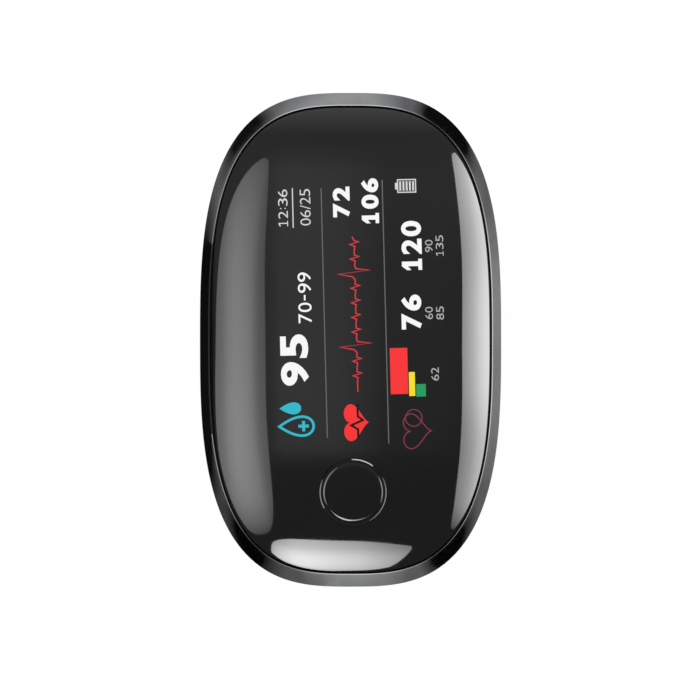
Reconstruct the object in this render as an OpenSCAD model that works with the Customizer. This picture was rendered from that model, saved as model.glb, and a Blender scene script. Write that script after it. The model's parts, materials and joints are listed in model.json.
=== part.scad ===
// Fingertip clip meter: a sprung clamshell that closes on a finger, with a display in its upper jaw.
// The origin is at the centre of the flat base, +Z is up and +Y points out of the finger opening.
// The two jaws turn about a pin that lies behind the finger, along X.

/* [Body] */
// Length of the body, along the finger
body_l = 60; // [59.5:0.5:63]
// Width of the body
body_w = 36.6; // [36.2:0.2:39]
// Squareness of the outline seen from above, where 2 is an ellipse
outline_n = 2.95; // [2.85:0.05:3.3]
// How far the flat base lies inside the outline
base_inset = 4.4; // [3.8:0.2:4.6]
// Thickness of the case walls
wall = 1.3; // [1.1:0.1:1.4]
// Narrow gap left between pieces that are assembled against each other
fit = 0.1; // [0.06:0.02:0.14]

/* [Face] */
// Height of the domed face from its edge to its crown
crown_h = 3.7; // [3:0.1:4.2]
// Thickness of the face lens
lens_t = 1.3; // [1:0.1:1.4]
// Height of the sloping band round the face
trim_h = 2.4; // [2.2:0.1:3]
// Width of the band at the two sides, seen from above
trim_side = 1.09; // [0.9:0.05:1.3]
// Width of the band at the two ends, seen from above
trim_end = 1.61; // [1.4:0.05:1.8]

/* [Button] */
// Diameter of the button cap
button_d = 7.2; // [6.6:0.2:7.6]
// Width of the ring round the button cap
bezel_w = 0.4; // [0.3:0.05:0.6]
// Distance of the button from the centre of the face, along the length
button_back = 18.3; // [18.1:0.1:19]
// Sideways place of the button
button_x = 0.3; // [-0.5:0.1:0.6]

/* [Display] */
// Width of the display module
display_w = 21; // [19:0.5:21.5]
// Length of the display module
display_l = 33.6; // [30:0.2:33.8]
// Thickness of the display module
display_t = 1.2; // [1:0.1:1.4]
// Sideways place of the display
display_x = 1.3; // [0:0.1:1.4]
// Place of the display along the length
display_y = 3.2; // [3:0.1:3.4]

/* [Finger channel] */
// Width of the oval finger channel
channel_w = 15.6; // [14:0.2:16]
// Height of the oval finger channel with the jaws closed
channel_h = 8.6; // [8:0.2:10]
// Depth of the finger channel, from the front end of the body
channel_l = 35.4; // [34:0.2:36]
// Thickness of the silicone finger pads
pad_t = 1; // [0.8:0.1:1.2]
// Thickness of the inner covers
cover_t = 0.9; // [0.8:0.05:1]

/* [Hinge] */
// Diameter of the hinge pin
pin_d = 2; // [1.6:0.1:2.2]
// Distance of the hinge pin behind the blind end of the finger channel
hinge_back = 5.6; // [5.4:0.1:6.2]
// Half of the wedge angle between the rear ends of the jaws
wedge_half = 8.5; // [7:0.5:8.5]
// Radial clearance of the upper jaw on the pin
pin_play = 0.05; // [0.03:0.01:0.08]
// Diameter of the spring wire
spring_wire_d = 0.7; // [0.5:0.1:0.8]

/* [Battery bay] */
// Diameter of a battery cell
cell_d = 10.5; // [10.2:0.1:10.5]
// Length of a battery cell with its terminal
cell_l = 44.5; // [44:0.1:44.6]
// Space for the contact spring at one end of each cell
contact_spring_l = 3; // [2.6:0.1:3]
// Thickness of the battery door
door_t = 1.3; // [1.1:0.1:1.4]

/* [Electronics] */
// Thickness of the main circuit board
board_t = 0.8; // [0.6:0.1:1]
// Width of the main circuit board
board_w = 23.4; // [22:0.2:23.4]
// Height of the button switch, with its plunger
switch_h = 1.6; // [1.5:0.05:1.9]

/* [Hidden] */

$fn = 48;
facets = 60;          // points round the outline of the body
oval_facets = 48;     // points round the finger channel
far = 60;             // longer than anything that it cuts
half_w = body_w / 2;
half_l = body_l / 2;
base_gap = fit;       // the door's skin lies this far above the surface the part stands on
side_n = 2.6;         // squareness of the side profile

// Heights, stacked up from the base
door_top = base_gap + door_t;
cell_z = door_top + 3 * fit + cell_d / 2;
trough_z = cell_z + cell_d / 2 + 1.5 * fit;
parting_z = trough_z + cover_t + pad_t + channel_h / 2;
arch_top = parting_z + channel_h / 2 + pad_t + cover_t;
board_z = arch_top + fit / 2;
seat_z = board_z + board_t;
seat_t = 0.8;
seat_top = seat_z + seat_t;
wide_z = seat_z + 0.3;
bracket_t = 0.4;
display_z = seat_z + bracket_t + fit;
trim_top = wide_z + trim_h;
lens_edge_z = trim_top - fit;
crown_z = lens_edge_z + crown_h;

// Outlines of the face, as insets from the body's outline at the sides and at the ends
face_n = 2.92;
trim_bevel = 0.12;
seat_side = trim_side + trim_bevel + fit;
seat_end = trim_end + trim_bevel + fit;
lens_side = trim_side + 1.5 * fit + trim_bevel;
lens_end = trim_end + 1.5 * fit + trim_bevel;
skirt_t = 1.1;
seat_w = 1.2;

// Finger channel
stop_y = half_l - channel_l;
stop_wall_y = stop_y - pad_t - fit / 2;
step_y = stop_wall_y - cover_t;
sensor_y = stop_y + 9.4;
window_w = 6.4;
window_l = 8.4;
window_t = 0.5;
chip_t = 0.45;
chip_w = 3;
led_w = 1.6;
led_pitch = 2.8;
sensor_board_t = 0.5;

// Hinge
hinge_y = stop_y - hinge_back;
ear_r = pin_d / 2 + 1.6;
ear_t = 1.6;
lower_ear_x = 9.8;
upper_ear_x = lower_ear_x + ear_t + 2 * fit;
clip_t = 0.4;
clip_x = upper_ear_x + ear_t + fit;
pin_end_x = clip_x + clip_t + 2 * fit;
clip_r = pin_d / 2 + 0.7;
groove_r = pin_d / 2 - 0.2;

// Rear ends of the jaws: flat decks just inside the wedge
wedge_rise = (half_l + hinge_y) * tan(wedge_half);
deck_gap = max(wedge_rise + 4 * fit, ear_r + 2 * fit);
rear_deck_z = parting_z - deck_gap;
rear_plate_z = parting_z + deck_gap;
flange_t = cover_t;

// Battery bay
cell_x = (cell_d + 7 * fit) / 2;
nub_l = 0.8;
nub_r = 1.9;
bay_w = 2 * cell_x + cell_d + 3 * fit;
bay_l = cell_l + contact_spring_l;
tray_t = 0.8;
plate_t = 0.3;
tray_top = cell_z + cell_d / 2 + fit + tray_t;
trough_a = channel_w / 2 + pad_t + cover_t;
trough_b = channel_h / 2 + pad_t + cover_t;
slot_x = trough_a * sqrt(1 - pow((parting_z - tray_top) / trough_b, 2)) + 2 * fit;
door_w = bay_w + 6 * fit;
tongue_w = door_w + 1.6;
tongue_z = 0.65 * door_top;
door_front_y = bay_l / 2 - 2.5 * fit;

// Screws
boss_r = 1.6;
pilot_r = 0.65;
screw_r = 0.7;
head_r = 1.4;
head_h = 0.75;
head_slot_w = 0.3;
pocket_wall = 0.9;
pocket_depth = head_h + fit;
pocket_floor = 0.8;
screw_x = tray_t + bay_w / 2 + boss_r + 2 * fit;
front_screw_y = half_l - 15;
rear_screw_y = 13 - half_l;
screw_places = [for (side = [-1, 1], y = [rear_screw_y, front_screw_y]) [side * screw_x, y]];
lower_screw_l = 6;
upper_screw_l = seat_z - rear_plate_z - head_h - 2 * fit;
rear_board_screw = [half_w - 9.8, 9.6 - half_l];
front_board_screw = [channel_w / 2 - 1.3, display_y + display_l / 2 + 2.8];
board_screw_places = [rear_board_screw, front_board_screw, [-front_board_screw[0], front_board_screw[1]]];
board_screw_l = 2;
board_head_h = 0.7;

// Flex cable
flex_w = 4.6;
flex_t = 0.15;
flex_y = hinge_y + pin_d / 2 + 1.1;
flex_slot_w = flex_w + 1.2;
flex_slot_l = 1.6;
socket_h = 1.05;
socket_w = 1.8;

// Jaw springs
coil_r = pin_d / 2 + 1;
coil_turns = 4.5;
coil_pitch = spring_wire_d + 0.05;
coil_x = lower_ear_x - 1 - coil_turns * coil_pitch;
leg_l = 7.5;

function signed_pow(v, p) = sign(v) * pow(abs(v), p);

// Points of a closed outline between an ellipse and a rectangle, with half sizes a and b
function outline(a, b, n) =
    [for (i = [0 : facets - 1]) let (t = 360 * i / facets)
        [a * signed_pow(cos(t), 2 / n), b * signed_pow(sin(t), 2 / n)]];

function ring(a, b, n, z) = [for (p = outline(a, b, n)) [p[0], p[1], z]];

// A closed skin through a list of rings that all have the same number of points
module loft(rings, count = facets) {
    last = len(rings) - 1;
    polyhedron(
        points = [for (r = rings) each r],
        faces = concat(
            [[for (i = [0 : count - 1]) i]],
            [[for (i = [count - 1 : -1 : 0]) last * count + i]],
            [for (k = [0 : last - 1], i = [0 : count - 1]) let (j = (i + 1) % count, low = k * count)
                each [[low + i, low + count + i, low + j], [low + j, low + count + i, low + count + j]]]
        ),
        convexity = 6
    );
}

// A closed skin through rings that come back to the first one, as round a frame
module loop_loft(rings, count = facets) {
    total = len(rings);
    polyhedron(
        points = [for (r = rings) each r],
        faces = [for (k = [0 : total - 1], i = [0 : count - 1])
            let (j = (i + 1) % count, low = k * count, high = ((k + 1) % total) * count)
            each [[low + i, high + i, low + j], [low + j, high + i, high + j]]],
        convexity = 6
    );
}

// The whole case below the face as one solid, drawn in by an inset all round
module body_form(inset = 0) {
    loft([for (f = [90 : -10 : 0])
        let (
            pull = base_inset * (1 - pow(max(cos(f), 0), 2 / side_n)) + inset,
            z = wide_z * (1 - pow(sin(f), 2 / side_n))
        )
        ring(half_w - pull, half_l - pull, outline_n, z)]);
}

// The domed face as one solid from a flat bottom, lowered by drop and drawn in by inset
module dome_form(bottom_z, drop = 0, inset = 0) {
    a = half_w - lens_side - inset;
    b = half_l - lens_end - inset;
    steps = [1, 0.96, 0.91, 0.84, 0.76, 0.66, 0.54, 0.41, 0.27, 0.12];
    loft(concat(
        [ring(a, b, face_n, bottom_z)],
        [for (r = steps) ring(a * r, b * r, dome_n(r), lens_edge_z + crown_h * dome_rise(r) - drop)],
        [ring(a * 0.01, b * 0.01, 2, crown_z - drop)]
    ));
}

// Height of the dome at a share r of the way out, from 1 at the crown to 0 at the edge
function dome_rise(r) = 1 - 0.45 * pow(r, 2) - 0.55 * pow(r, 6);
// Level of the lens's underside at a distance from the centre, along the length
function ceiling_z(back) = lens_edge_z + crown_h * dome_rise(back / (half_l - lens_end - skirt_t)) - lens_t;
function dome_n(r) = 2.1 + (face_n - 2.1) * r * r;

// Draws a flat shape in the YZ plane and extrudes it along X, from x0 to x1
module along_x(x0, x1) {
    translate([x0, 0, 0]) rotate([90, 0, 90]) linear_extrude(x1 - x0, convexity = 6) children();
}

// Draws a flat shape in the XZ plane and extrudes it along Y, from y0 to y1
module along_y(y0, y1) {
    translate([0, y1, 0]) rotate([90, 0, 0]) linear_extrude(y1 - y0, convexity = 6) children();
}

// A block given by its sides in X and Y and its bottom and top
module block(x, y, z) {
    translate([x[0], y[0], z[0]]) cube([x[1] - x[0], y[1] - y[0], z[1] - z[0]]);
}

// A cylinder along X, between x0 and x1, about the hinge axis
module hinge_rod(r, x0, x1) {
    translate([x0, hinge_y, parting_z]) rotate([0, 90, 0]) cylinder(r = r, h = x1 - x0);
}

module both_sides() {
    children();
    mirror([1, 0, 0]) children();
}

// All that lies below the parting surface, which drops towards the rear behind the hinge
module lower_zone(gap) {
    along_x(-far, far) polygon([
        [-far, -far], [far, -far], [far, parting_z - gap], [hinge_y, parting_z - gap],
        [-far, parting_z - gap - (far + hinge_y) * tan(wedge_half)]
    ]);
}

module upper_zone(gap) {
    along_x(-far, far) polygon([
        [-far, 2 * far], [far, 2 * far], [far, parting_z + gap], [hinge_y, parting_z + gap],
        [-far, parting_z + gap + (far + hinge_y) * tan(wedge_half)]
    ]);
}

// Section of the finger channel, made larger all round by grow
module channel_oval(grow = 0) {
    polygon([for (i = [0 : oval_facets - 1]) let (t = 360 * i / oval_facets)
        [(channel_w / 2 + grow) * cos(t), parting_z + (channel_h / 2 + grow) * sin(t)]]);
}

module body_outline(side, end) {
    polygon(outline(half_w - side, half_l - end, outline_n));
}

// The pipe that a round wire fills along a list of points, for wires that turn about the X or the Y axis
module wire(path, r, axis = [1, 0, 0], sides = 8) {
    last = len(path) - 1;
    loft([for (k = [0 : last])
        let (
            along = path[min(k + 1, last)] - path[max(k - 1, 0)],
            t = along / norm(along),
            u0 = cross(t, axis),
            u = u0 / norm(u0),
            v = cross(t, u)
        )
        [for (i = [0 : sides - 1]) let (q = 360 * i / sides) path[k] + r * (u * cos(q) + v * sin(q))]],
        sides);
}

// ---- Lower jaw ----

// Post for a cover screw, with a rib that ties it to the case wall
module screw_boss(place, z0, z1) {
    side = sign(place[0]);
    difference() {
        union() {
            translate([place[0], place[1], z0]) cylinder(r = boss_r, h = z1 - z0);
            block([min(place[0], side * half_w), max(place[0], side * half_w)],
                [place[1] - boss_r / 2, place[1] + boss_r / 2], [z0, z1]);
        }
        translate([place[0], place[1], z0 - far]) cylinder(r = pilot_r, h = 2 * far);
    }
}

module door_track(clear) {
    half = door_w / 2 + clear;
    lip = tongue_w / 2 + clear;
    along_y(-far, door_front_y + clear) polygon([
        [-half, -1], [half, -1], [half, tongue_z - clear], [lip, tongue_z - clear],
        [lip, door_top + clear], [-lip, door_top + clear], [-lip, tongue_z - clear],
        [-half, tongue_z - clear]
    ]);
}

// Cut in a case half where the finger channel comes out
module mouth_cut() along_y(half_l - base_inset - 2 * wall, far) channel_oval(pad_t + fit);

module lower_shell() color([0.05, 0.05, 0.055]) {
    difference() {
        union() {
            difference() {
                intersection() {
                    body_form();
                    lower_zone(fit / 2);
                }
                intersection() {
                    body_form(wall);
                    block([-far, far], [-far, far], [wall, far]);
                }
            }
            intersection() {
                body_form(wall / 2);
                union() for (p = screw_places) screw_boss(p, wall / 2, pocket_bottom(p) - fit / 2);
            }
        }
        door_track(fit);
        mouth_cut();
        for (p = screw_places) {
            translate([p[0], p[1], pocket_bottom(p) - lower_screw_l]) cylinder(r = pilot_r, h = far);
            translate([p[0], p[1], pocket_bottom(p)]) cylinder(r = head_r + fit, h = far);
        }
    }
}

module battery_tray() color([0.12, 0.12, 0.13]) {
    inner = bay_w / 2;
    outer = inner + tray_t;
    end = bay_l / 2 + plate_t + fit;
    intersection() {
        difference() {
            block([-outer, outer], [-end - tray_t, end + tray_t], [door_top + fit, tray_top]);
            block([-inner, inner], [-end, end], [0, tray_top - tray_t]);
            block([-slot_x, slot_x], [-far, far], [tray_top - tray_t - 1, far]);
            for (p = screw_places)
                translate([p[0], p[1], pocket_bottom(p) - fit])
                    cylinder(r = head_r + pocket_wall + fit, h = far);
        }
        body_form(wall + fit);
    }
}

// Level of a cover's inner face at a screw
function deck_at(p) = p[1] < 0 ? rear_deck_z : parting_z - fit;
function plate_at(p) = p[1] < 0 ? rear_plate_z : parting_z + fit;
function pocket_bottom(p) = deck_at(p) - pocket_depth - pocket_floor;
function pocket_top(p) = plate_at(p) + pocket_depth + pocket_floor;

// The two ears of a jaw, as solid lugs from the hinge axis to a level
module ears(x0, to_z) {
    low = min(to_z, parting_z);
    high = max(to_z, parting_z);
    both_sides() {
        hinge_rod(ear_r, x0, x0 + ear_t);
        block([x0, x0 + ear_t], [hinge_y - ear_r, hinge_y + ear_r], [low, high]);
    }
}

module flex_slot() {
    block([-flex_slot_w / 2, flex_slot_w / 2], [flex_y - flex_slot_l / 2, flex_y + flex_slot_l / 2],
        [0, 2 * far]);
}

module window_hole(z0, z1) {
    block([-window_w / 2 - fit, window_w / 2 + fit],
        [sensor_y - window_l / 2 - fit, sensor_y + window_l / 2 + fit], [z0, z1]);
}

module lower_cover() color([0.1, 0.1, 0.11]) {
    deck_low = rear_deck_z - flange_t;
    difference() {
        union() {
            intersection() {
                union() {
                    along_y(step_y, far) channel_oval(pad_t + cover_t);
                    block([-far, far], [step_y, far], [parting_z - fit - flange_t, parting_z - fit]);
                    block([-far, far], [step_y, stop_wall_y], [deck_low, parting_z - fit]);
                    block([-far, far], [-far, stop_wall_y], [deck_low, rear_deck_z]);
                    for (p = screw_places)
                        translate([p[0], p[1], pocket_bottom(p)])
                            cylinder(r = head_r + pocket_wall, h = deck_at(p) - pocket_bottom(p));
                }
                body_form(wall + fit);
                block([-far, far], [-far, far], [0, parting_z - fit]);
            }
            ears(lower_ear_x, deck_low);
        }
        along_y(stop_wall_y, far) channel_oval(pad_t + fit / 2);
        for (p = screw_places) {
            translate([p[0], p[1], 0]) cylinder(r = screw_r + fit, h = far);
            translate([p[0], p[1], deck_at(p) - pocket_depth]) cylinder(r = head_r + fit, h = far);
        }
        hinge_rod(pin_d / 2 + fit / 5, -far, far);
        flex_slot();
        window_hole(0, parting_z);
    }
}

// A finger pad is a silicone skin in the channel with a wall at its blind end
module finger_pad() {
    intersection() {
        difference() {
            along_y(stop_y - pad_t, far) channel_oval(pad_t);
            along_y(stop_y, 2 * far) channel_oval();
        }
        body_form(2 * fit);
    }
}

module lower_finger_pad() color([0.16, 0.17, 0.18]) {
    difference() {
        intersection() {
            finger_pad();
            lower_zone(fit);
        }
        window_hole(0, parting_z - channel_h / 4);
    }
}

// A pan-head screw with its head's top at the origin, pointing down
module screw(length, r, cap_r, cap_h) {
    difference() {
        union() {
            translate([0, 0, -cap_h]) cylinder(r = cap_r, h = cap_h);
            translate([0, 0, -cap_h - length]) cylinder(r = r, h = length + cap_h / 2);
        }
        for (a = [0, 90]) rotate(a) cube([cap_r * 1.2, head_slot_w, cap_h], center = true);
    }
}

module lower_screws() color([0.6, 0.6, 0.62]) {
    for (p = screw_places)
        translate([p[0], p[1], deck_at(p) - fit]) screw(lower_screw_l, pilot_r - fit / 4, head_r, head_h);
}

module sensor_board() color([0.05, 0.35, 0.2])
    block([-window_w / 2, window_w / 2], [sensor_y - window_l / 2, sensor_y + window_l / 2],
        [trough_z + fit, trough_z + fit + sensor_board_t]);

module photodiode() color([0.1, 0.1, 0.2]) {
    z = trough_z + 1.5 * fit + sensor_board_t;
    block([-chip_w / 2, chip_w / 2], [sensor_y - chip_w / 2, sensor_y + chip_w / 2], [z, z + chip_t]);
}

module sensor_window() color([0.5, 0.1, 0.1, 0.6]) {
    top = parting_z - channel_h / 2 - fit / 2;
    block([-window_w / 2, window_w / 2], [sensor_y - window_l / 2, sensor_y + window_l / 2],
        [top - window_t, top]);
}

// ---- Battery bay ----

// A cell along Y, with its terminal at the +Y end and that terminal's tip at the bay's end
module cell() {
    rotate([90, 0, 0]) {
        translate([0, 0, -bay_l / 2 + fit / 2]) cylinder(r = nub_r, h = nub_l * 2);
        translate([0, 0, -bay_l / 2 + nub_l + fit / 2]) cylinder(r = cell_d / 2, h = cell_l - nub_l - fit);
    }
}

module cell_left() color([0.75, 0.5, 0.15])
    translate([-cell_x, 0, cell_z]) rotate(180) cell();

module cell_right() color([0.75, 0.5, 0.15])
    translate([cell_x, 0, cell_z]) cell();

plate_w = 7.6;
plate_h = 6.9;
spring_wide_r = 3.2;
spring_tip_r = 2;
spring_wire_r = 0.25;
spring_turns = 3.5;
plate_reach = cell_x + plate_w / 2 - 4 * fit;
plate_low = cell_z - plate_h / 2 + fit;
plate_high = plate_low + plate_h;

module bridge_contact() color([0.8, 0.8, 0.8])
    block([-plate_reach, plate_reach], [bay_l / 2, bay_l / 2 + plate_t], [plate_low, plate_high]);

module terminal_plates() color([0.8, 0.8, 0.8])
    both_sides()
        block([plate_reach - plate_w, plate_reach], [-bay_l / 2 - plate_t, -bay_l / 2], [plate_low, plate_high]);

// Cone-shaped contact spring that stands on a plate at +Y and narrows towards the cell
module contact_spring() {
    run = contact_spring_l - 2 * spring_wire_r - fit;
    start_y = bay_l / 2 - spring_wire_r - fit / 4;
    path = [for (q = [0 : 24 : 360 * spring_turns])
        let (s = q / (360 * spring_turns), r = spring_wide_r + (spring_tip_r - spring_wide_r) * s)
        [r * cos(q), start_y - run * s, r * sin(q)]];
    wire(path, spring_wire_r, [0, 1, 0], 6);
}

module contact_springs() color([0.85, 0.85, 0.85]) {
    translate([-cell_x, 0, cell_z]) contact_spring();
    translate([cell_x, 0, cell_z]) rotate(180) contact_spring();
}

grip_count = 4;
grip_pitch = 2;
grip_w = 10;
grip_r = 0.35;
grip_start_y = 11 - half_l;

module battery_door() color([0.05, 0.05, 0.055]) {
    half = door_w / 2;
    lip = tongue_w / 2;
    difference() {
        intersection() {
            along_y(-far, door_front_y) polygon([
                [-half, base_gap], [half, base_gap], [half, tongue_z], [lip, tongue_z],
                [lip, door_top], [-lip, door_top], [-lip, tongue_z], [-half, tongue_z]
            ]);
            body_form();
        }
        for (k = [0 : grip_count - 1])
            translate([-grip_w / 2, grip_start_y + grip_pitch * k, base_gap])
                rotate([0, 90, 0]) cylinder(r = grip_r, h = grip_w);
    }
}

// ---- Hinge ----

module hinge_pin() color([0.75, 0.75, 0.77]) {
    difference() {
        hinge_rod(pin_d / 2, -pin_end_x, pin_end_x);
        both_sides() difference() {
            hinge_rod(pin_d, clip_x - fit / 2, clip_x + clip_t + fit / 2);
            hinge_rod(groove_r, clip_x - 1, clip_x + 2);
        }
    }
}

module pin_clips() color([0.6, 0.6, 0.62])
    both_sides() difference() {
        hinge_rod(clip_r, clip_x, clip_x + clip_t);
        hinge_rod(groove_r + fit / 2, clip_x - 1, clip_x + 2);
    }

// Torsion spring round the pin, with one leg on the lower deck and one under the upper plate
module jaw_spring() {
    leg_y = hinge_y - leg_l;
    rest = spring_wire_d / 2 + fit / 2;
    coil = [for (q = [0 : 24 : 360 * coil_turns])
        [coil_x + coil_pitch * q / 360, hinge_y + coil_r * sin(q), parting_z - coil_r * cos(q)]];
    path = concat(
        [[coil_x, leg_y, rear_deck_z + rest]],
        coil,
        [[coil_x + coil_turns * coil_pitch, leg_y, rear_plate_z - rest]]
    );
    wire(path, spring_wire_d / 2);
}

module jaw_spring_right() color([0.7, 0.7, 0.72]) jaw_spring();

module jaw_spring_left() color([0.7, 0.7, 0.72]) mirror([1, 0, 0]) jaw_spring();

// Ribbon from the sensor board, under the trough and up past the hinge pin to the main board
module flex_cable() color([0.7, 0.4, 0.1]) {
    run_z = trough_z - 1.2 * fit;
    centre = [[sensor_y + window_l / 2, run_z], [flex_y + 0.6, run_z], [flex_y, run_z + 0.6],
        [flex_y, board_z - fit / 2 - socket_h]];
    back = [for (k = [0 : 3]) centre[k] - [k > 1 ? flex_t : 0, k < 2 ? flex_t : 0]];
    along_x(-flex_w / 2, flex_w / 2)
        polygon(concat(centre, [for (k = [3 : -1 : 0]) back[k]]));
}

// ---- Upper jaw ----

module upper_shell() color([0.05, 0.05, 0.055]) {
    difference() {
        union() {
            difference() {
                intersection() {
                    body_form();
                    upper_zone(fit / 2);
                }
                intersection() {
                    body_form(wall);
                    block([-far, far], [-far, far], [0, seat_z]);
                }
            }
            translate([0, 0, seat_z]) linear_extrude(seat_t) body_outline(seat_side, seat_end);
            intersection() {
                body_form(wall / 2);
                union() for (p = screw_places) screw_boss(p, pocket_top(p) + fit / 2, seat_z);
            }
        }
        translate([0, 0, seat_z - fit]) linear_extrude(far)
            body_outline(seat_side + seat_w, seat_end + seat_w);
        mouth_cut();
        for (p = screw_places) {
            translate([p[0], p[1], 0]) cylinder(r = head_r + fit, h = pocket_top(p));
            translate([p[0], p[1], 0]) cylinder(r = pilot_r, h = seat_z);
        }
    }
}

module trim_ring() color([0.35, 0.36, 0.38]) {
    foot = wide_z + fit / 4;
    inner_side = half_w - trim_side - trim_bevel;
    inner_end = half_l - trim_end - trim_bevel;
    loop_loft([
        ring(half_w, half_l, outline_n, foot),
        ring(half_w - trim_side, half_l - trim_end, face_n, trim_top - trim_bevel / 2),
        ring(inner_side, inner_end, face_n, trim_top),
        ring(inner_side, inner_end, face_n, foot)
    ]);
}

module button_bore(r) {
    translate([button_x, -button_back, 0]) cylinder(r = r, h = far);
}

bezel_r = button_d / 2 + bezel_w + fit / 2;
hole_r = bezel_r + fit / 2;
flange_reach = 0.7;
flange_h = 0.65;
flange_top = ceiling_z(button_back + button_d / 2 + flange_reach) - 2 * fit;
flange_z = flange_top - flange_h;
bezel_low = flange_top + fit;

module face_lens() color([0.02, 0.02, 0.025]) {
    difference() {
        dome_form(seat_top + fit / 2);
        dome_form(seat_top - 1, lens_t, skirt_t);
        button_bore(hole_r);
    }
}

module button_bezel() color([0.12, 0.12, 0.13]) {
    difference() {
        intersection() {
            dome_form(0);
            button_bore(bezel_r);
        }
        translate([0, 0, bezel_low - far]) cylinder(r = far, h = far);
        button_bore(button_d / 2 + fit);
    }
}

plunger_r = 1.1;
plunger_top = seat_z + switch_h;

module button_cap() color([0.04, 0.04, 0.045]) {
    intersection() {
        dome_form(0, fit / 2);
        union() {
            translate([button_x, -button_back, flange_z]) {
                cylinder(r = button_d / 2, h = far);
                cylinder(r = button_d / 2 + flange_reach, h = flange_h);
            }
            translate([button_x, -button_back, plunger_top + fit / 4])
                cylinder(r = plunger_r, h = flange_z + flange_h / 2 - plunger_top);
        }
    }
}

switch_size = 4.6;
plunger_rise = 0.75;
plunger_foot = 0.5;

module switch_plunger() color([0.7, 0.7, 0.7])
    translate([button_x, -button_back, seat_z + plunger_foot])
        cylinder(r = plunger_r, h = plunger_top - seat_z - plunger_foot);

module tact_switch() color([0.15, 0.15, 0.15]) {
    difference() {
        block([button_x - switch_size / 2, button_x + switch_size / 2],
            [-button_back - switch_size / 2, -button_back + switch_size / 2],
            [seat_z + fit / 4, plunger_top - plunger_rise]);
        translate([button_x, -button_back, seat_z + 1.5 * fit])
            cylinder(r = plunger_r + pin_play, h = far);
    }
}

display_xs = [display_x - display_w / 2, display_x + display_w / 2];
display_ys = [display_y - display_l / 2, display_y + display_l / 2];
bracket_rim = 0.5;
ledge_w = 3;
cable_xs = [display_x + 3.2, display_x + 8.2];

module display_module() color([0.1, 0.12, 0.15])
    block(display_xs, display_ys, [display_z, display_z + display_t]);

module display_bracket() color([0.5, 0.5, 0.52]) {
    grow = [-bracket_rim - fit / 2, bracket_rim + fit / 2];
    low = seat_z + fit / 2;
    difference() {
        intersection() {
            block(display_xs + grow, display_ys + grow, [low, display_z + display_t - 0.6]);
            translate([0, 0, low]) linear_extrude(far)
                body_outline(seat_side + seat_w + fit, seat_end + seat_w + fit);
        }
        block(display_xs + [-fit / 2, fit / 2], display_ys + [-fit / 2, fit / 2], [display_z - fit / 2, far]);
        block(display_xs + [ledge_w, -ledge_w], display_ys + [ledge_w, -ledge_w], [0, far]);
        block(cable_xs + [-fit, fit], [display_ys[0] - 2, display_ys[0] + 1], [display_z - fit / 2, far]);
    }
}

display_socket_y = display_ys[0] - 2.2;

module display_cable() color([0.7, 0.4, 0.1]) {
    start_z = display_z + 0.5;
    end_z = seat_z + 0.5;
    top = [[display_ys[0] - fit / 4, start_z], [display_ys[0] - 1, start_z],
        [display_socket_y + 0.5, end_z], [display_socket_y + fit / 4, end_z]];
    along_x(cable_xs[0], cable_xs[1])
        polygon(concat(top, [for (k = [3 : -1 : 0]) top[k] - [0, flex_t]]));
}

module display_socket() color([0.85, 0.83, 0.75])
    block(cable_xs + [-0.6, 0.6], [display_socket_y - 1.5, display_socket_y],
        [seat_z + fit / 4, seat_z + 0.95]);

module main_board() color([0.03, 0.25, 0.15]) {
    difference() {
        translate([0, 0, board_z]) linear_extrude(board_t - fit / 4) intersection() {
            body_outline(seat_side + seat_w + fit, seat_end + seat_w + fit);
            square([board_w, body_l], center = true);
        }
        for (p = board_screw_places)
            translate([p[0], p[1], 0]) cylinder(r = pilot_r + fit, h = far);
        for (p = screw_places)
            translate([p[0], p[1], 0]) cylinder(r = boss_r + fit, h = far);
    }
}

module under_board(x, y, size) {
    translate([x - size[0] / 2, y - size[1] / 2, board_z - fit / 4 - size[2]]) cube(size);
}

// Places along the length are measured from the rear end of the board
board_rear_y = seat_end + seat_w + fit - half_l;
chip_size = [6, 6, 0.9];
chip_place = [-4.5, flex_y - (socket_w + chip_size[1]) / 2 - 1];
memory_place = [4.5, board_rear_y + 11.9];
memory_size = [3, 3, 1];
crystal_place = [-4.5, board_rear_y + 4.9];
crystal_size = [3.2, 1.5, 0.8];
capacitor_place = [0.4, board_rear_y + 6.4];
capacitor_size = [0.8, 1.6, 0.7];
capacitor_pitch = 2;

module processor_chip() color([0.08, 0.08, 0.09]) under_board(chip_place[0], chip_place[1], chip_size);

module board_parts() color([0.45, 0.35, 0.25]) {
    under_board(memory_place[0], memory_place[1], memory_size);
    under_board(crystal_place[0], crystal_place[1], crystal_size);
    for (k = [0 : 2])
        under_board(capacitor_place[0] + capacitor_pitch * k, capacitor_place[1], capacitor_size);
}

buzzer_r = 3.2;
buzzer_h = 1.9;
buzzer_hole_r = 0.7;
buzzer_hole_depth = 0.7;
buzzer_place = [10.6 - half_w, board_rear_y + 7.4];

module buzzer() color([0.1, 0.1, 0.1]) {
    low = seat_z + fit / 4;
    translate([buzzer_place[0], buzzer_place[1], 0]) difference() {
        translate([0, 0, low]) cylinder(r = buzzer_r, h = buzzer_h);
        translate([0, 0, low + buzzer_h - buzzer_hole_depth]) cylinder(r = buzzer_hole_r, h = far);
    }
}

module flex_socket() color([0.85, 0.83, 0.75])
    under_board(0, flex_y, [flex_w + 1.2, socket_w, socket_h]);

module board_screws() color([0.6, 0.6, 0.62])
    for (p = board_screw_places)
        translate([p[0], p[1], seat_z + board_head_h])
            screw(board_screw_l, pilot_r - fit / 4, head_r, board_head_h);

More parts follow.
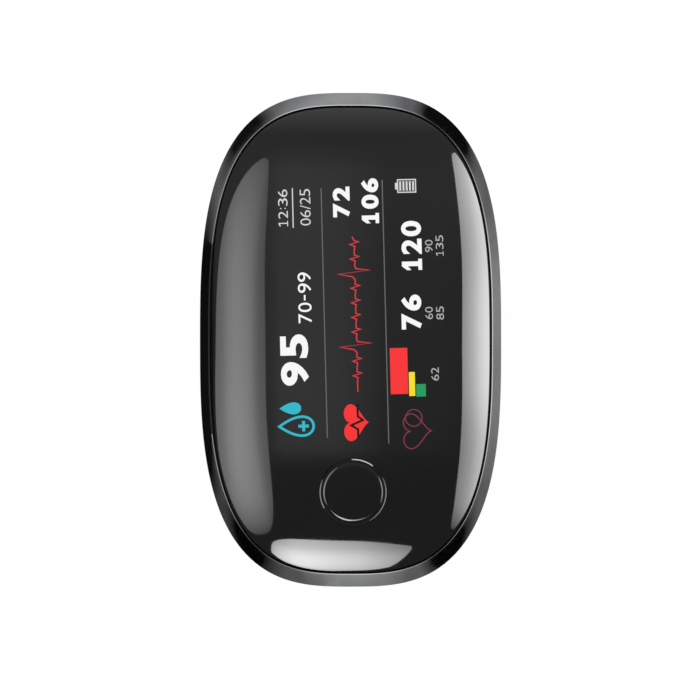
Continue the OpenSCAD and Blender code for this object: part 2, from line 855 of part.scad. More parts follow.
module upper_cover() color([0.1, 0.1, 0.11]) {
    plate_high_z = rear_plate_z + flange_t;
    difference() {
        union() {
            intersection() {
                union() {
                    along_y(step_y, far) channel_oval(pad_t + cover_t);
                    block([-far, far], [step_y, far], [parting_z + fit, parting_z + fit + flange_t]);
                    block([-far, far], [step_y, stop_wall_y], [parting_z + fit, plate_high_z]);
                    block([-far, far], [-far, stop_wall_y], [rear_plate_z, plate_high_z]);
                    for (p = screw_places)
                        translate([p[0], p[1], plate_at(p)])
                            cylinder(r = head_r + pocket_wall, h = pocket_top(p) - plate_at(p));
                }
                body_form(wall + fit);
                block([-far, far], [-far, far], [parting_z + fit, far]);
            }
            for (p = board_screw_places)
                translate([p[0], p[1], p[1] < 0 ? rear_plate_z : parting_z + fit])
                    cylinder(r = boss_r - 0.2,
                        h = board_z - fit / 4 - (p[1] < 0 ? rear_plate_z : parting_z + fit));
            ears(upper_ear_x, plate_high_z);
        }
        along_y(stop_wall_y, far) channel_oval(pad_t + fit / 2);
        for (p = screw_places) {
            translate([p[0], p[1], 0]) cylinder(r = screw_r + fit, h = far);
            translate([p[0], p[1], 0]) cylinder(r = head_r + fit, h = plate_at(p) + pocket_depth);
        }
        for (p = board_screw_places)
            translate([p[0], p[1], board_z - board_screw_l - fit]) cylinder(r = pilot_r, h = far);
        hinge_rod(pin_d / 2 + pin_play, -far, far);
        flex_slot();
        window_hole(parting_z, far);
    }
}

module upper_finger_pad() color([0.16, 0.17, 0.18]) {
    difference() {
        intersection() {
            finger_pad();
            upper_zone(fit);
        }
        window_hole(parting_z + channel_h / 4, far);
    }
}

module upper_screws() color([0.6, 0.6, 0.62]) {
    for (p = screw_places)
        translate([p[0], p[1], plate_at(p) + fit]) mirror([0, 0, 1])
            screw(upper_screw_l, pilot_r - fit / 4, head_r, head_h);
}

module emitter_board() color([0.05, 0.35, 0.2])
    block([-window_w / 2, window_w / 2], [sensor_y - window_l / 2, sensor_y + window_l / 2],
        [arch_top - fit / 2 - sensor_board_t, arch_top - fit / 2]);

module emitter_leds() color([0.9, 0.85, 0.7]) {
    high = arch_top - fit - sensor_board_t;
    for (y = [sensor_y - led_pitch / 2, sensor_y + led_pitch / 2])
        block([-led_w / 2, led_w / 2], [y - led_w / 2, y + led_w / 2], [high - chip_t, high]);
}

module emitter_window() color([0.5, 0.1, 0.1, 0.6]) {
    low = parting_z + channel_h / 2 + fit / 2;
    block([-window_w / 2, window_w / 2], [sensor_y - window_l / 2, sensor_y + window_l / 2],
        [low, low + window_t]);
}

lower_shell();
battery_tray();
lower_cover();
lower_finger_pad();
lower_screws();
sensor_board();
photodiode();
sensor_window();
cell_left();
cell_right();
bridge_contact();
terminal_plates();
contact_springs();
battery_door();
hinge_pin();
pin_clips();
jaw_spring_left();
jaw_spring_right();
flex_cable();
upper_shell();
trim_ring();
face_lens();
button_bezel();
button_cap();
switch_plunger();
tact_switch();
display_module();
display_bracket();
display_cable();
display_socket();
main_board();
processor_chip();
board_parts();
buzzer();
flex_socket();
board_screws();
upper_cover();
upper_finger_pad();
upper_screws();
emitter_board();
emitter_leds();
emitter_window();
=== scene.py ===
import functools
import json
import math

import bmesh
import bpy
from mathutils import Matrix, Vector

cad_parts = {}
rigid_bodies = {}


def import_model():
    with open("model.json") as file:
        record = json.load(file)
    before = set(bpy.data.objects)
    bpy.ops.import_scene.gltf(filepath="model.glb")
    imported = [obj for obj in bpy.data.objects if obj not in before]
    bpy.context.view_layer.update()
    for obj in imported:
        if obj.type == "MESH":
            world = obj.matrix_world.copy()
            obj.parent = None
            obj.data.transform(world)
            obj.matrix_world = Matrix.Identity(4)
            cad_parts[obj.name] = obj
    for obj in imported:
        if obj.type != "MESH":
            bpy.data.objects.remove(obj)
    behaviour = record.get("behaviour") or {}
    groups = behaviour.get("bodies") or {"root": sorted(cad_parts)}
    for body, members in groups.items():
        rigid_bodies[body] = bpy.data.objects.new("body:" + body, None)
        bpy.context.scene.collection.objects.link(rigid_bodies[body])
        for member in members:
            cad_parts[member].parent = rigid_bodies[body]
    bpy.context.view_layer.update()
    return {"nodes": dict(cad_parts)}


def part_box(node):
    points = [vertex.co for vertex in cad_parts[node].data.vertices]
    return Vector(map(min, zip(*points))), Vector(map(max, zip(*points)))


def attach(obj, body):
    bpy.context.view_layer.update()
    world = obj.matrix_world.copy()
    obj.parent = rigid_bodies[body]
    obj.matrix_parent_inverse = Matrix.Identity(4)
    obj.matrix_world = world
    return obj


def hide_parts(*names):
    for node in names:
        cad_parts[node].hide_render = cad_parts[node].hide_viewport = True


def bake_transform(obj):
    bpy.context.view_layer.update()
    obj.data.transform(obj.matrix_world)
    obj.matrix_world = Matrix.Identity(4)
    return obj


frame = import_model()
MM = 0.001


# ---- Camera ----
# A long lens looks straight down on the lying meter, so its outline is seen true.
# The meter sits a little above the middle of the picture.
view_width = 85.1 * MM
view_middle = (-0.07 * MM, -1.24 * MM)
rim_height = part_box("trim_ring")[0][2]
bpy.ops.object.camera_add(rotation=(0, 0, 0))
camera = bpy.context.object
camera.data.lens = 150
camera.data.sensor_width = 36
camera.data.clip_end = 10
reach = view_width * camera.data.lens / camera.data.sensor_width
camera.location = (*view_middle, rim_height + reach)
bpy.context.scene.camera = camera
bpy.context.scene.view_settings.view_transform = "Standard"


# ---- Table and backdrop ----
# A pale table that runs out to a white backdrop, under a dim studio ceiling.
# The table is lit, so it keeps the soft shadow of the meter.
def give(tree, entry, value):
    """Sets an input of a shader node, or links it where the value is another node's output."""
    if isinstance(value, bpy.types.NodeSocket):
        tree.links.new(value, entry)
    else:
        entry.default_value = value


def add_node(tree, kind, inputs=(), **settings):
    new = tree.nodes.new("ShaderNode" + kind)
    for name, value in settings.items():
        setattr(new, name, value)
    for name, value in dict(inputs).items():
        give(tree, new.inputs[name], value)
    return new


def maths(tree, operation, *values):
    """One step of arithmetic on numbers and outputs of nodes."""
    return add_node(tree, "Math", enumerate(values), operation=operation).outputs[0]


def span(tree, value, low, high, start=0.0, end=1.0):
    """Runs from start to end while the value runs from low to high."""
    inputs = {"Value": value, "From Min": low, "From Max": high, "To Min": start, "To Max": end}
    return add_node(tree, "MapRange", inputs).outputs[0]


def emptied(owner):
    """The node tree of a new material or world, with nothing in it."""
    owner.use_nodes = True
    owner.node_tree.nodes.clear()
    return owner.node_tree


def seen_directly(tree):
    """1 for what is seen straight, in a gloss or through glass, and 0 for scattered light."""
    path = add_node(tree, "LightPath").outputs
    seen = maths(tree, "MAXIMUM", path["Is Camera Ray"], path["Is Glossy Ray"])
    return maths(tree, "MAXIMUM", seen, path["Is Transmission Ray"])


def mixed_surface(name, share, first, second):
    """A material between two shaders. All three are functions of its node tree."""
    material = bpy.data.materials.new(name)
    tree = emptied(material)
    mix = add_node(tree, "MixShader", {0: share(tree), 1: first(tree).outputs[0], 2: second(tree).outputs[0]})
    add_node(tree, "OutputMaterial", {"Surface": mix.outputs[0]})
    return material


def new_piece(operator, name, **options):
    """A new primitive, with nothing else selected."""
    bpy.ops.object.select_all(action="DESELECT")
    operator(**options)
    piece = bpy.context.object
    piece.name = piece.data.name = name
    return piece


table = new_piece(bpy.ops.mesh.primitive_circle_add, "table", vertices=96, radius=6, fill_type="NGON",
                  location=(0, 0, -0.02 * MM))
table.data.materials.append(mixed_surface(
    "table_top", lambda tree: maths(tree, "MULTIPLY", seen_directly(tree), 0.84),
    lambda tree: add_node(tree, "BsdfDiffuse", {"Color": (0.8, 0.8, 0.8, 1)}),
    lambda tree: add_node(tree, "Emission", {"Strength": 1.09})))


def studio_room():
    """White up to just over the horizon, then a ceiling that is brighter towards the wall at +Y."""
    world = bpy.data.worlds.new("studio_room")
    tree = emptied(world)
    towards = add_node(tree, "SeparateXYZ", {0: add_node(tree, "TexCoord").outputs["Generated"]}).outputs
    ceiling = span(tree, towards["Y"], -0.32, 0.30, 0.22, 0.47)
    far_wall = span(tree, towards["Y"], 0.66, 0.86, 0, 0.6)
    above_white = span(tree, towards["Z"], math.sin(math.radians(6)), math.sin(math.radians(11)))
    room = maths(tree, "ADD", ceiling, far_wall)
    backdrop = add_node(tree, "Mix", {"A": 1.0, "B": room, "Factor": above_white}).outputs[0]
    seen = add_node(tree, "Mix", {"A": 0.55, "B": backdrop, "Factor": seen_directly(tree)}).outputs[0]
    light = add_node(tree, "Background", {"Color": (1, 1, 1, 1), "Strength": seen})
    add_node(tree, "OutputWorld", {"Surface": light.outputs[0]})
    return world


bpy.context.scene.world = studio_room()


# ---- Lamps, softboxes and flags ----
# Two soft lamps give the plain level of light. Three softboxes are seen only in gloss: one at each
# long side and one at the button end. Black flags round the meter darken parts of the metal band.
def soft_lamp(name, place, power):
    bpy.ops.object.light_add(type="AREA", location=place)
    lamp = bpy.context.object
    lamp.name = name
    lamp.data.energy = power
    lamp.data.size = 0.5
    lamp.rotation_euler = (-Vector(place)).to_track_quat("-Z", "Y").to_euler()
    lamp.visible_glossy = False
    lamp.visible_camera = False


soft_lamp("lamp_high_left", (-0.35, 0.3, 0.6), 2.2)
soft_lamp("lamp_high_right", (0.45, -0.15, 0.55), 1.6)


def only_in_gloss(card):
    card.visible_camera = False
    card.visible_diffuse = False
    card.visible_shadow = False
    card.visible_transmission = False


def object_place(tree):
    return add_node(tree, "TexCoord").outputs["Object"]


def light_level(tree, strength, along, up):
    """A strength that runs along X and Y as the pairs of place and share say."""
    split = add_node(tree, "SeparateXYZ", {0: object_place(tree)}).outputs
    level = strength
    for axis, ramp in (("X", along), ("Y", up)):
        low, high = ramp[0][0], ramp[-1][0]
        curve = add_node(tree, "FloatCurve", {"Value": span(tree, split[axis], low, high)})
        points = curve.mapping.curves[0].points
        while len(points) < len(ramp):
            points.new(0.5, 0.5)
        for point, (at, share) in zip(points, ramp):
            point.location = ((at - low) / (high - low), share)
        curve.mapping.update()
        level = maths(tree, "MULTIPLY", curve.outputs[0], level)
    return level


def squared(half_x, half_y, squareness, turn):
    """A point of an outline between an ellipse and a rectangle."""
    c, s = math.cos(turn), math.sin(turn)
    power = 2 / squareness
    return (half_x * math.copysign(abs(c) ** power, c), half_y * math.copysign(abs(s) ** power, s))


def softbox(name, azimuth, elevation, centre, half, squareness, taper, strength, along, up):
    """A lit card square to the line from the meter, its width level and its height up that line. Its two
    ends taper, mostly from below, by the shares in taper; along and up say how its light runs over it."""
    a, e = math.radians(azimuth), math.radians(elevation)
    out = Vector((math.cos(a) * math.cos(e), math.sin(a) * math.cos(e), math.sin(e)))
    card = new_piece(bpy.ops.mesh.primitive_circle_add, name, vertices=96, radius=1, fill_type="NGON")
    still = 0.7 * half[1]
    for corner in card.data.vertices:
        x, y = squared(*half, squareness, math.atan2(corner.co.y, corner.co.x))
        y = still - (still - y) * (1 - taper[x > 0] * abs(x / half[0]) ** 1.5)
        corner.co = (x + centre[0], y + centre[1], 0)
    right = Vector((0, 0, 1)).cross(out).normalized()
    distance, lift = 0.2, Vector((0, 0, 0.03))
    facing = Matrix((right, out.cross(right), out)).transposed().to_4x4()
    card.matrix_world = Matrix.Translation(out * distance + lift) @ facing
    cloth = bpy.data.materials.new(f"{name}_cloth")
    tree = emptied(cloth)
    glow = add_node(tree, "Emission", {"Strength": light_level(tree, strength, along, up)})
    add_node(tree, "OutputMaterial", {"Surface": glow.outputs[0]})
    card.data.materials.append(cloth)
    only_in_gloss(card)


softbox("softbox_left", azimuth=180, elevation=40, centre=(0.012, -0.007), half=(0.148, 0.106),
        squareness=2.9, taper=(0.75, 0.45), strength=5.6,
        along=[(-0.135, 0.38), (-0.088, 0.57), (-0.046, 0.75), (0, 0.9), (0.035, 1), (0.078, 0.94),
               (0.12, 0.64), (0.16, 0.2)],
        up=[(-0.13, 0.42), (-0.076, 0.57), (-0.03, 0.89), (0, 1), (0.04, 0.9), (0.085, 0.42), (0.11, 0.3)])
softbox("softbox_right", azimuth=0, elevation=25, centre=(-0.002, -0.008), half=(0.144, 0.077),
        squareness=5, taper=(0.77, 0.79), strength=19,
        along=[(-0.145, 0.15), (-0.12, 0.42), (-0.09, 0.64), (-0.05, 0.67), (0, 0.93), (0.04, 0.85),
               (0.088, 0.95), (0.14, 0.77)],
        up=[(-0.1, 0.75), (-0.04, 0.85), (0.02, 0.57), (0.066, 0.37)])
softbox("softbox_front", azimuth=-90, elevation=42, centre=(-0.019, -0.03), half=(0.082, 0.048),
        squareness=2.7, taper=(0.3, 0.75), strength=19.5,
        along=[(-0.1, 0.5), (-0.07, 0.84), (-0.045, 1), (-0.02, 0.95), (0.02, 0.57), (0.06, 0.33)],
        up=[(-0.06, 0.72), (-0.03, 1), (-0.014, 0.9), (0, 0.68), (0.018, 0.54)])


def black_flag(name, height, centre, half, opacity, core, upright=0):
    """Black cloth that thins out from the core of its flag to the edge. Places are in mm."""
    flag = new_piece(bpy.ops.mesh.primitive_circle_add, name, vertices=48, radius=1, fill_type="NGON",
                     rotation=(0, upright, 0), location=(centre[0] * MM, centre[1] * MM, height * MM))
    flag.scale = (half[0] * MM, half[1] * MM, 1)

    def thickness(tree):
        middle = add_node(tree, "VectorMath", {0: object_place(tree)}, operation="LENGTH")
        return span(tree, middle.outputs["Value"], 1.0, core, 0, opacity)

    flag.data.materials.append(mixed_surface(
        "flag_cloth", thickness, lambda tree: add_node(tree, "BsdfTransparent"),
        lambda tree: add_node(tree, "BsdfDiffuse", {"Color": (0.003, 0.003, 0.003, 1)})))
    only_in_gloss(flag)


black_flag("flag_left", 0.1, (-63, -5), (45, 46), 0.98, 0.5)
black_flag("flag_right", 0.1, (50, 10), (37, 57), 0.3, 0.33)
black_flag("flag_back_left", 0.2, (-71, 82), (26, 50), 0.97, 0.42)
black_flag("flag_front_left", 0.2, (-80, -90), (48, 58), 1.0, 0.42)
black_flag("flag_back_right", 0.2, (70, 95), (37, 50), 0.98, 0.66)
black_flag("flag_front_right", 0.2, (76, -95), (34, 52), 1.0, 0.53)
black_flag("flag_standing", 22, (-125, -4), (32, 75), 0.97, 0.6, upright=math.pi / 2)
black_flag("veil_back_left", 0.3, (-70, 63), (81, 87), 0.61, 0.64)
black_flag("veil_front_left", 0.4, (-68, -91), (80, 93), 0.71, 0.63)
black_flag("veil_back_right", 0.3, (74, 93), (73, 89), 0.59, 0.69)
black_flag("veil_front_right", 0.4, (68, -89), (78, 93), 0.64, 0.58)


# ---- Case halves ----
# Injection-moulded gloss black ABS, 1.3 mm thick, drawn in towards the base like a pebble.
# The two halves part level with the finger and spread in a wedge behind the hinge.
def rgb(*steps):
    """A colour given in 0 to 255 steps, as the linear value that a shader takes."""
    shares = [step / 255 for step in steps]
    return (*(s / 12.92 if s <= 0.04045 else ((s + 0.055) / 1.055) ** 2.4 for s in shares), 1)


def grain(tree, scale, detail, stretch=(1, 1, 1)):
    """Fine random grain over the piece, with stretch for brushed or drawn surfaces."""
    place = add_node(tree, "Mapping", {"Vector": object_place(tree), "Scale": stretch}).outputs[0]
    return add_node(tree, "TexNoise", {"Vector": place, "Scale": scale, "Detail": detail}).outputs["Fac"]


def two_colours(tree, share, first, second):
    """The first colour where the share is 0, and the second where it is 1."""
    inputs = {"A": first, "B": second, "Factor": share}
    return add_node(tree, "Mix", inputs, data_type="RGBA").outputs["Result"]


def feed(material, name, value):
    """Sets or links an input of the shader that the material starts with."""
    give(material.node_tree, material.node_tree.nodes["Principled BSDF"].inputs[name], value)


def emboss(material, height, depth, strength):
    """Relief of a real depth, in mm, in the surface."""
    inputs = {"Strength": strength, "Distance": depth * MM, "Height": height}
    feed(material, "Normal", add_node(material.node_tree, "Bump", inputs).outputs["Normal"])


def finish(name, colour, roughness, metallic=0.0, tint=None, gloss=None, relief=None):
    """A material that varies with fine grain. Each of the last three starts with the grain's scale and
    detail. Then come the darker and lighter colour, the lower and higher roughness, or the depth and
    strength of the relief, and a stretch where there is one."""
    material = bpy.data.materials.new(name)
    material.use_nodes = True
    tree = material.node_tree
    feed(material, "Base Color", rgb(*colour))
    feed(material, "Roughness", roughness)
    feed(material, "Metallic", metallic)
    if tint:
        scale, detail, dark, light, *stretch = tint
        share = span(tree, grain(tree, scale, detail, *stretch), 0.3, 0.7)
        feed(material, "Base Color", two_colours(tree, share, rgb(*dark), rgb(*light)))
    if gloss:
        scale, detail, low, high, *stretch = gloss
        feed(material, "Roughness", span(tree, grain(tree, scale, detail, *stretch), 0.3, 0.7, low, high))
    if relief:
        scale, detail, depth, strength, *stretch = relief
        emboss(material, grain(tree, scale, detail, *stretch), depth, strength)
    return material


case_finish = finish("gloss_black_abs", (9, 9, 10), 0.14, tint=(900, 4, (8, 8, 9), (13, 13, 14)),
                     gloss=(160, 6, 0.10, 0.20), relief=(2600, 2, 0.004, 0.35))


def pick(*pieces):
    """Selects only these pieces and makes the first one active."""
    bpy.ops.object.select_all(action="DESELECT")
    for piece in pieces:
        piece.select_set(True)
    bpy.context.view_layer.objects.active = pieces[0]


def close_up(piece, merge=0.0):
    """Merges corners nearer than merge, in mm, and turns the faces of a closed mesh outwards."""
    pick(piece)
    bpy.ops.object.mode_set(mode="EDIT")
    bpy.ops.mesh.select_all(action="SELECT")
    if merge:
        bpy.ops.mesh.remove_doubles(threshold=merge * MM)
    bpy.ops.mesh.normals_make_consistent(inside=False)
    if bmesh.from_edit_mesh(piece.data).calc_volume(signed=True) < 0:
        bpy.ops.mesh.flip_normals()
    bpy.ops.object.mode_set(mode="OBJECT")


def reshape(piece, rule):
    """Moves each corner to the place, in mm, that the rule gives for it."""
    for corner in piece.data.vertices:
        corner.co = Vector(rule(corner.co)) * MM


def skin(name, corners, rings, place):
    """A ring of corners is extruded ring by ring. Then place(ring, turn) says where each one goes, in mm."""
    piece = new_piece(bpy.ops.mesh.primitive_circle_add, name, vertices=corners, radius=1)
    bpy.ops.object.mode_set(mode="EDIT")
    bpy.ops.mesh.select_all(action="SELECT")
    for _ in range(rings - 1):
        bpy.ops.mesh.extrude_region_move(TRANSFORM_OT_translate={"value": (0, 0, 1)})
    bpy.ops.object.mode_set(mode="OBJECT")
    reshape(piece, lambda at: place(round(at.z), math.atan2(at.y, at.x)))
    close_up(piece, 0.0002)
    return piece


def apply_change(piece, kind, **settings):
    """Adds a modifier and applies it at once."""
    change = piece.modifiers.new("change", kind)
    for name, value in settings.items():
        setattr(change, name, value)
    pick(piece)
    bpy.ops.object.modifier_apply(modifier="change")


def combine(piece, operation, *tools):
    """Adds solids to a piece, or keeps or takes away the part of it inside them."""
    for tool in tools:
        apply_change(piece, "BOOLEAN", operation=operation, solver="EXACT", object=tool)
        bpy.data.objects.remove(tool)


def cut(piece, *tools):
    combine(piece, "DIFFERENCE", *tools)


def smooth(piece, angle):
    pick(piece)
    bpy.ops.object.shade_smooth_by_angle(angle=math.radians(angle))


def dress(piece, node, slot, *materials, angle=35, even=False, blend=None):
    """Finishes a piece and puts it in its node's place. It rides on the node's body, or, where blend is
    given, stays where it is on no body; the two places in mm that blend gives are not used."""
    for material in materials:
        piece.data.materials.append(material)
    smooth(piece, angle)
    if even:
        apply_change(piece, "WEIGHTED_NORMAL", keep_sharp=True)
    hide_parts(node)
    if blend:
        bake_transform(piece)
    else:
        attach(piece, frame["nodes"][node].parent.name.removeprefix("body:"))


def box_mm(node):
    return [Vector(corner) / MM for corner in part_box(node)]


trim_lo, trim_hi = box_mm("trim_ring")
half_w, half_l = trim_hi.x, trim_hi.y
outline_n = 2.95
side_n = 2.6
base_inset = 4.4
wide_z = 25.9
wall = 1.3
hinge_y = -11.0
parting_z = 18.55
wedge = math.tan(math.radians(8.5))
lip_r = 0.22
part_gap = 0.05


def drawn_in(z):
    """How far the case lies inside its widest outline at a height."""
    fall = math.asin(min(max(1 - z / wide_z, 0), 1) ** (side_n / 2))
    return base_inset * (1 - math.cos(fall) ** (2 / side_n))


def case_point(inset, z, turn):
    """A point of the case's outline, drawn in by one inset, or by one for the sides and one for the ends."""
    side, end = inset if isinstance(inset, tuple) else (inset, inset)
    return (*squared(half_w - side, half_l - end, outline_n, turn), z)


def parting_level(turn, side):
    """Height of the edge of a case half; side is -1 for the lower half and 1 for the upper one."""
    level = parting_z + side * part_gap
    for _ in range(3):
        y = case_point(drawn_in(level), level, turn)[1]
        level = parting_z + side * (part_gap + max(hinge_y - y, 0) * wedge)
    return level


base_rings = 26
wall_rings = 9
lip_steps = 4
brow_rings = 8


def base_curve(top, step):
    """Inset and height of one of the base_rings steps up the outside of the case, from the base to top."""
    fall_end = math.asin((1 - top / wide_z) ** (side_n / 2))
    fall = math.pi / 2 + (fall_end - math.pi / 2) * step / base_rings
    inwards, upwards = (1 - max(part, 0) ** (2 / side_n) for part in (math.cos(fall), math.sin(fall)))
    return (base_inset * inwards, wide_z * upwards)


def lip(edge, shoulder, side):
    """The small radius at the parting edge, from the shoulder to the edge; side as in parting_level."""
    bends = [math.pi / 2 * k / lip_steps for k in range(lip_steps + 1)]
    return [(edge + lip_r * (1 - math.cos(a)), shoulder - side * lip_r * math.sin(a)) for a in bends]


@functools.cache
def lower_profile(turn):
    """Inset and height of each ring of the lower case, from the middle of its base round to the inside."""
    level = parting_level(turn, -1)
    shoulder = level - lip_r
    profile = [(half_w, 0.0)] + [base_curve(shoulder, k) for k in range(base_rings + 1)]
    profile += lip(profile[-1][0], shoulder, -1)[1:]
    for k in range(wall_rings):
        z = level + (wall - level) * k / (wall_rings - 1)
        profile.append((wall + drawn_in(z), z))
    return profile + [(half_w, wall)]


def lower_shell_point(ring, turn):
    inset, z = lower_profile(turn)[ring]
    return (0, 0, z) if inset == half_w else case_point(inset, z, turn)


def oval_bar(name, half_across, half_up, start, end, middle, axis="Y", corners=128):
    """A solid bar of oval section along Y or X; middle is its place across and up."""
    tool = new_piece(bpy.ops.mesh.primitive_cylinder_add, name, vertices=corners, radius=1, depth=1)

    def spot(at):
        a = math.atan2(at.y, at.x)
        along = end if at.z > 0 else start
        across, up = middle[0] + half_across * math.cos(a), middle[1] + half_up * math.sin(a)
        return (across, along, up) if axis == "Y" else (along, across, up)

    reshape(tool, spot)
    close_up(tool)
    return tool


def block(name, x, y, z):
    piece = new_piece(bpy.ops.mesh.primitive_cube_add, name, size=1)
    reshape(piece, lambda at: (x[at.x > 0], y[at.y > 0], z[at.z > 0]))
    return piece


def round_bar(name, x, y, radius, low, high, corners=96):
    return new_piece(bpy.ops.mesh.primitive_cylinder_add, name, vertices=corners, radius=radius * MM,
                     depth=(high - low) * MM, location=(x * MM, y * MM, (low + high) / 2 * MM))


case_screw_x, front_screw_y, rear_screw_y = 13.6, 15.0, -17.0
case_screws = [(x, y) for x in (-case_screw_x, case_screw_x) for y in (rear_screw_y, front_screw_y)]
cover_height = {rear_screw_y: 3.34, front_screw_y: 0.2}
cover_t = 1.6
boss_r, pilot_r, pilot_depth = 1.6, 0.65, 5.95
seat_z, boss_top = 25.6, 25.7
web_gap = 0.2
form_rings = 12


def wall_middle_point(ring, turn):
    """A solid that ends halfway into the wall of the case."""
    z = wall / 2 + (boss_top - wall / 2) * min(max(ring - 1, 0) / form_rings, 1)
    if ring in (0, form_rings + 2):
        return (0, 0, z)
    return case_point(wall / 2 + drawn_in(z), z, turn)


def add_bosses(case, side):
    """Four bosses up to the cover of a case half, each with a web to the wall; side as in parting_level."""
    bosses, pilots = [], []
    for x, y in case_screws:
        end = parting_z + side * (cover_height[y] + cover_t)
        low, high = (wall / 2, end) if side < 0 else (end, boss_top)
        pilot = (end - pilot_depth, 20) if side < 0 else (20, 30)
        bosses.append(round_bar("boss", x, y, boss_r, low, high, 40))
        bosses.append(block("web", sorted((x, x * 1.4)), (y - boss_r / 2, y + boss_r / 2),
                            (low + web_gap, high - web_gap)))
        pilots.append(round_bar("pilot", x, y, pilot_r, *pilot, 24))
    combine(bosses[0], "UNION", *bosses[1:])
    combine(bosses[0], "INTERSECT", skin("wall_middle", 120, form_rings + 3, wall_middle_point))
    cut(bosses[0], *pilots)
    combine(case, "UNION", bosses[0])


mouth_x, mouth_z = 8.9, 5.4
case_corners = 240
door_lo, door_hi = box_mm("battery_door")
lower_case = skin("lower_case", case_corners, len(lower_profile(0.0)), lower_shell_point)
rail_w, play = 0.7, 0.1
track_y = (-40, door_hi.y + play)
track = block("track", (rail_w - door_hi.x, door_hi.x - rail_w), track_y, (-1, 1.6))
combine(track, "UNION", block("tongue_track", (-door_hi.x - play, door_hi.x + play), track_y, (0.81, 1.5)))
cut(lower_case, oval_bar("mouth", mouth_x, mouth_z, 22, 36, (0, parting_z)), track)
add_bosses(lower_case, -1)
dress(lower_case, "lower_shell", "case_black", case_finish, angle=30)


@functools.cache
def upper_profile(turn):
    """Inset and height of each ring of the upper case, from the parting edge over the seat of the lens."""
    level = parting_level(turn, 1)
    shoulder = level + lip_r
    profile = [(wall + drawn_in(level), level)] + lip(drawn_in(shoulder), shoulder, 1)[::-1]
    for k in range(1, brow_rings + 1):
        z = shoulder + (wide_z - shoulder) * k / brow_rings
        profile.append((drawn_in(z), z))
    seat, seat_inside = (1.31, 1.83), (2.51, 3.03)
    profile += [(seat, wide_z), (seat, wide_z + 0.5), (seat_inside, wide_z + 0.5), (seat_inside, seat_z),
                (wall, seat_z), (wall + drawn_in((level + seat_z) / 2), (level + seat_z) / 2)]
    return profile + profile[:1]


upper_case = skin("upper_case", case_corners, len(upper_profile(0.0)),
                  lambda ring, turn: case_point(*upper_profile(turn)[ring], turn))
cut(upper_case, oval_bar("mouth", mouth_x, mouth_z, 22, 36, (0, parting_z)))
add_bosses(upper_case, 1)
dress(upper_case, "upper_shell", "case_black", case_finish, angle=30)


# ---- Gunmetal band ----
# A die-cast ring with a flat sloping face, plated and polished, that is pressed over the case rim.
# Its narrow inner chamfer is cut with a diamond after plating, so it shows bare bright metal.
plating = finish("gunmetal_plating", (134, 135, 137), 0.07, metallic=1.0, gloss=(1500, 3, 0.05, 0.09),
                 tint=(420, 5, (130, 131, 133), (141, 142, 144), (1, 1, 0.25)), relief=(5200, 2, 0.001, 0.2))
bright_cut = finish("bright_cut", (196, 197, 199), 0.03, metallic=1.0, gloss=(2600, 3, 0.02, 0.04))
trim_side, trim_end = 1.09, 1.61
trim_face_n = 2.92
trim_chamfer = 0.11
chamfer_low = trim_hi.z - 0.125
trim_profile = [
    (0.06, 0.06, outline_n, trim_lo.z),
    (0, 0, outline_n, trim_lo.z + 0.06),
    (0, 0, outline_n, trim_lo.z + 0.2),
    (trim_side, trim_end, trim_face_n, chamfer_low),
    (trim_side, trim_end, trim_face_n, trim_hi.z, trim_chamfer),
    (trim_side, trim_end, trim_face_n, trim_hi.z - 0.03, trim_chamfer + 0.02),
    (trim_side, trim_end, trim_face_n, trim_lo.z, trim_chamfer + 0.02),
]
trim_profile.append(trim_profile[0])


def trim_point(ring, turn):
    """A fifth value of the ring moves the corner square to the outline, so the chamfer keeps its slope."""
    side, end, n, z, *inwards = trim_profile[ring]
    x, y = squared(half_w - side, half_l - end, n, turn)
    if inwards:
        square = Vector([math.copysign(abs(at / half) ** (n - 1) / half, at)
                         for at, half in ((x, half_w - side), (y, half_l - end))]).normalized()
        x, y = Vector((x, y)) - square * inwards[0]
    return (x, y, z)


band = skin("gunmetal_band", 288, len(trim_profile), trim_point)
dress(band, "trim_ring", "trim_gunmetal", plating, bright_cut, angle=12)
for side in band.data.polygons:
    if side.center.z > chamfer_low * MM + 1e-6 and side.normal.z > 0.5:
        side.material_index = 1


# ---- Face lens ----
# One piece of black-tinted acrylic, moulded as a shallow pillow with a skirt that seats in the case.
# Its edge is broken by a small radius and the button comes through a drilled hole.
lens_lo, lens_hi = box_mm("face_lens")
lens_a, lens_b = half_w - 1.32, half_l - 1.84
lens_edge_z = 28.2
crown_h = lens_hi.z - lens_edge_z
skirt_h = lens_edge_z - lens_lo.z
lens_t = 1.3
skirt_t = 1.1
edge_r = 0.2


def bow(r):
    """Share of the dome's height at a share r of the way from its middle to its edge."""
    return 1 - 0.45 * r ** 2 - 0.55 * r ** 6


def bow_n(r):
    """Squareness of the dome's outline there."""
    return 2.1 + 0.82 * r * r


def face_height(x, y):
    """Height of the outside of the face over a point, both in mm."""
    low, high = 0.0, 1.2
    for _ in range(26):
        r = (low + high) / 2
        if r > 1e-4 and (abs(x) / (lens_a * r)) ** bow_n(r) + (abs(y) / (lens_b * r)) ** bow_n(r) < 1:
            high = r
        else:
            low = r
    return lens_edge_z + crown_h * bow(high)


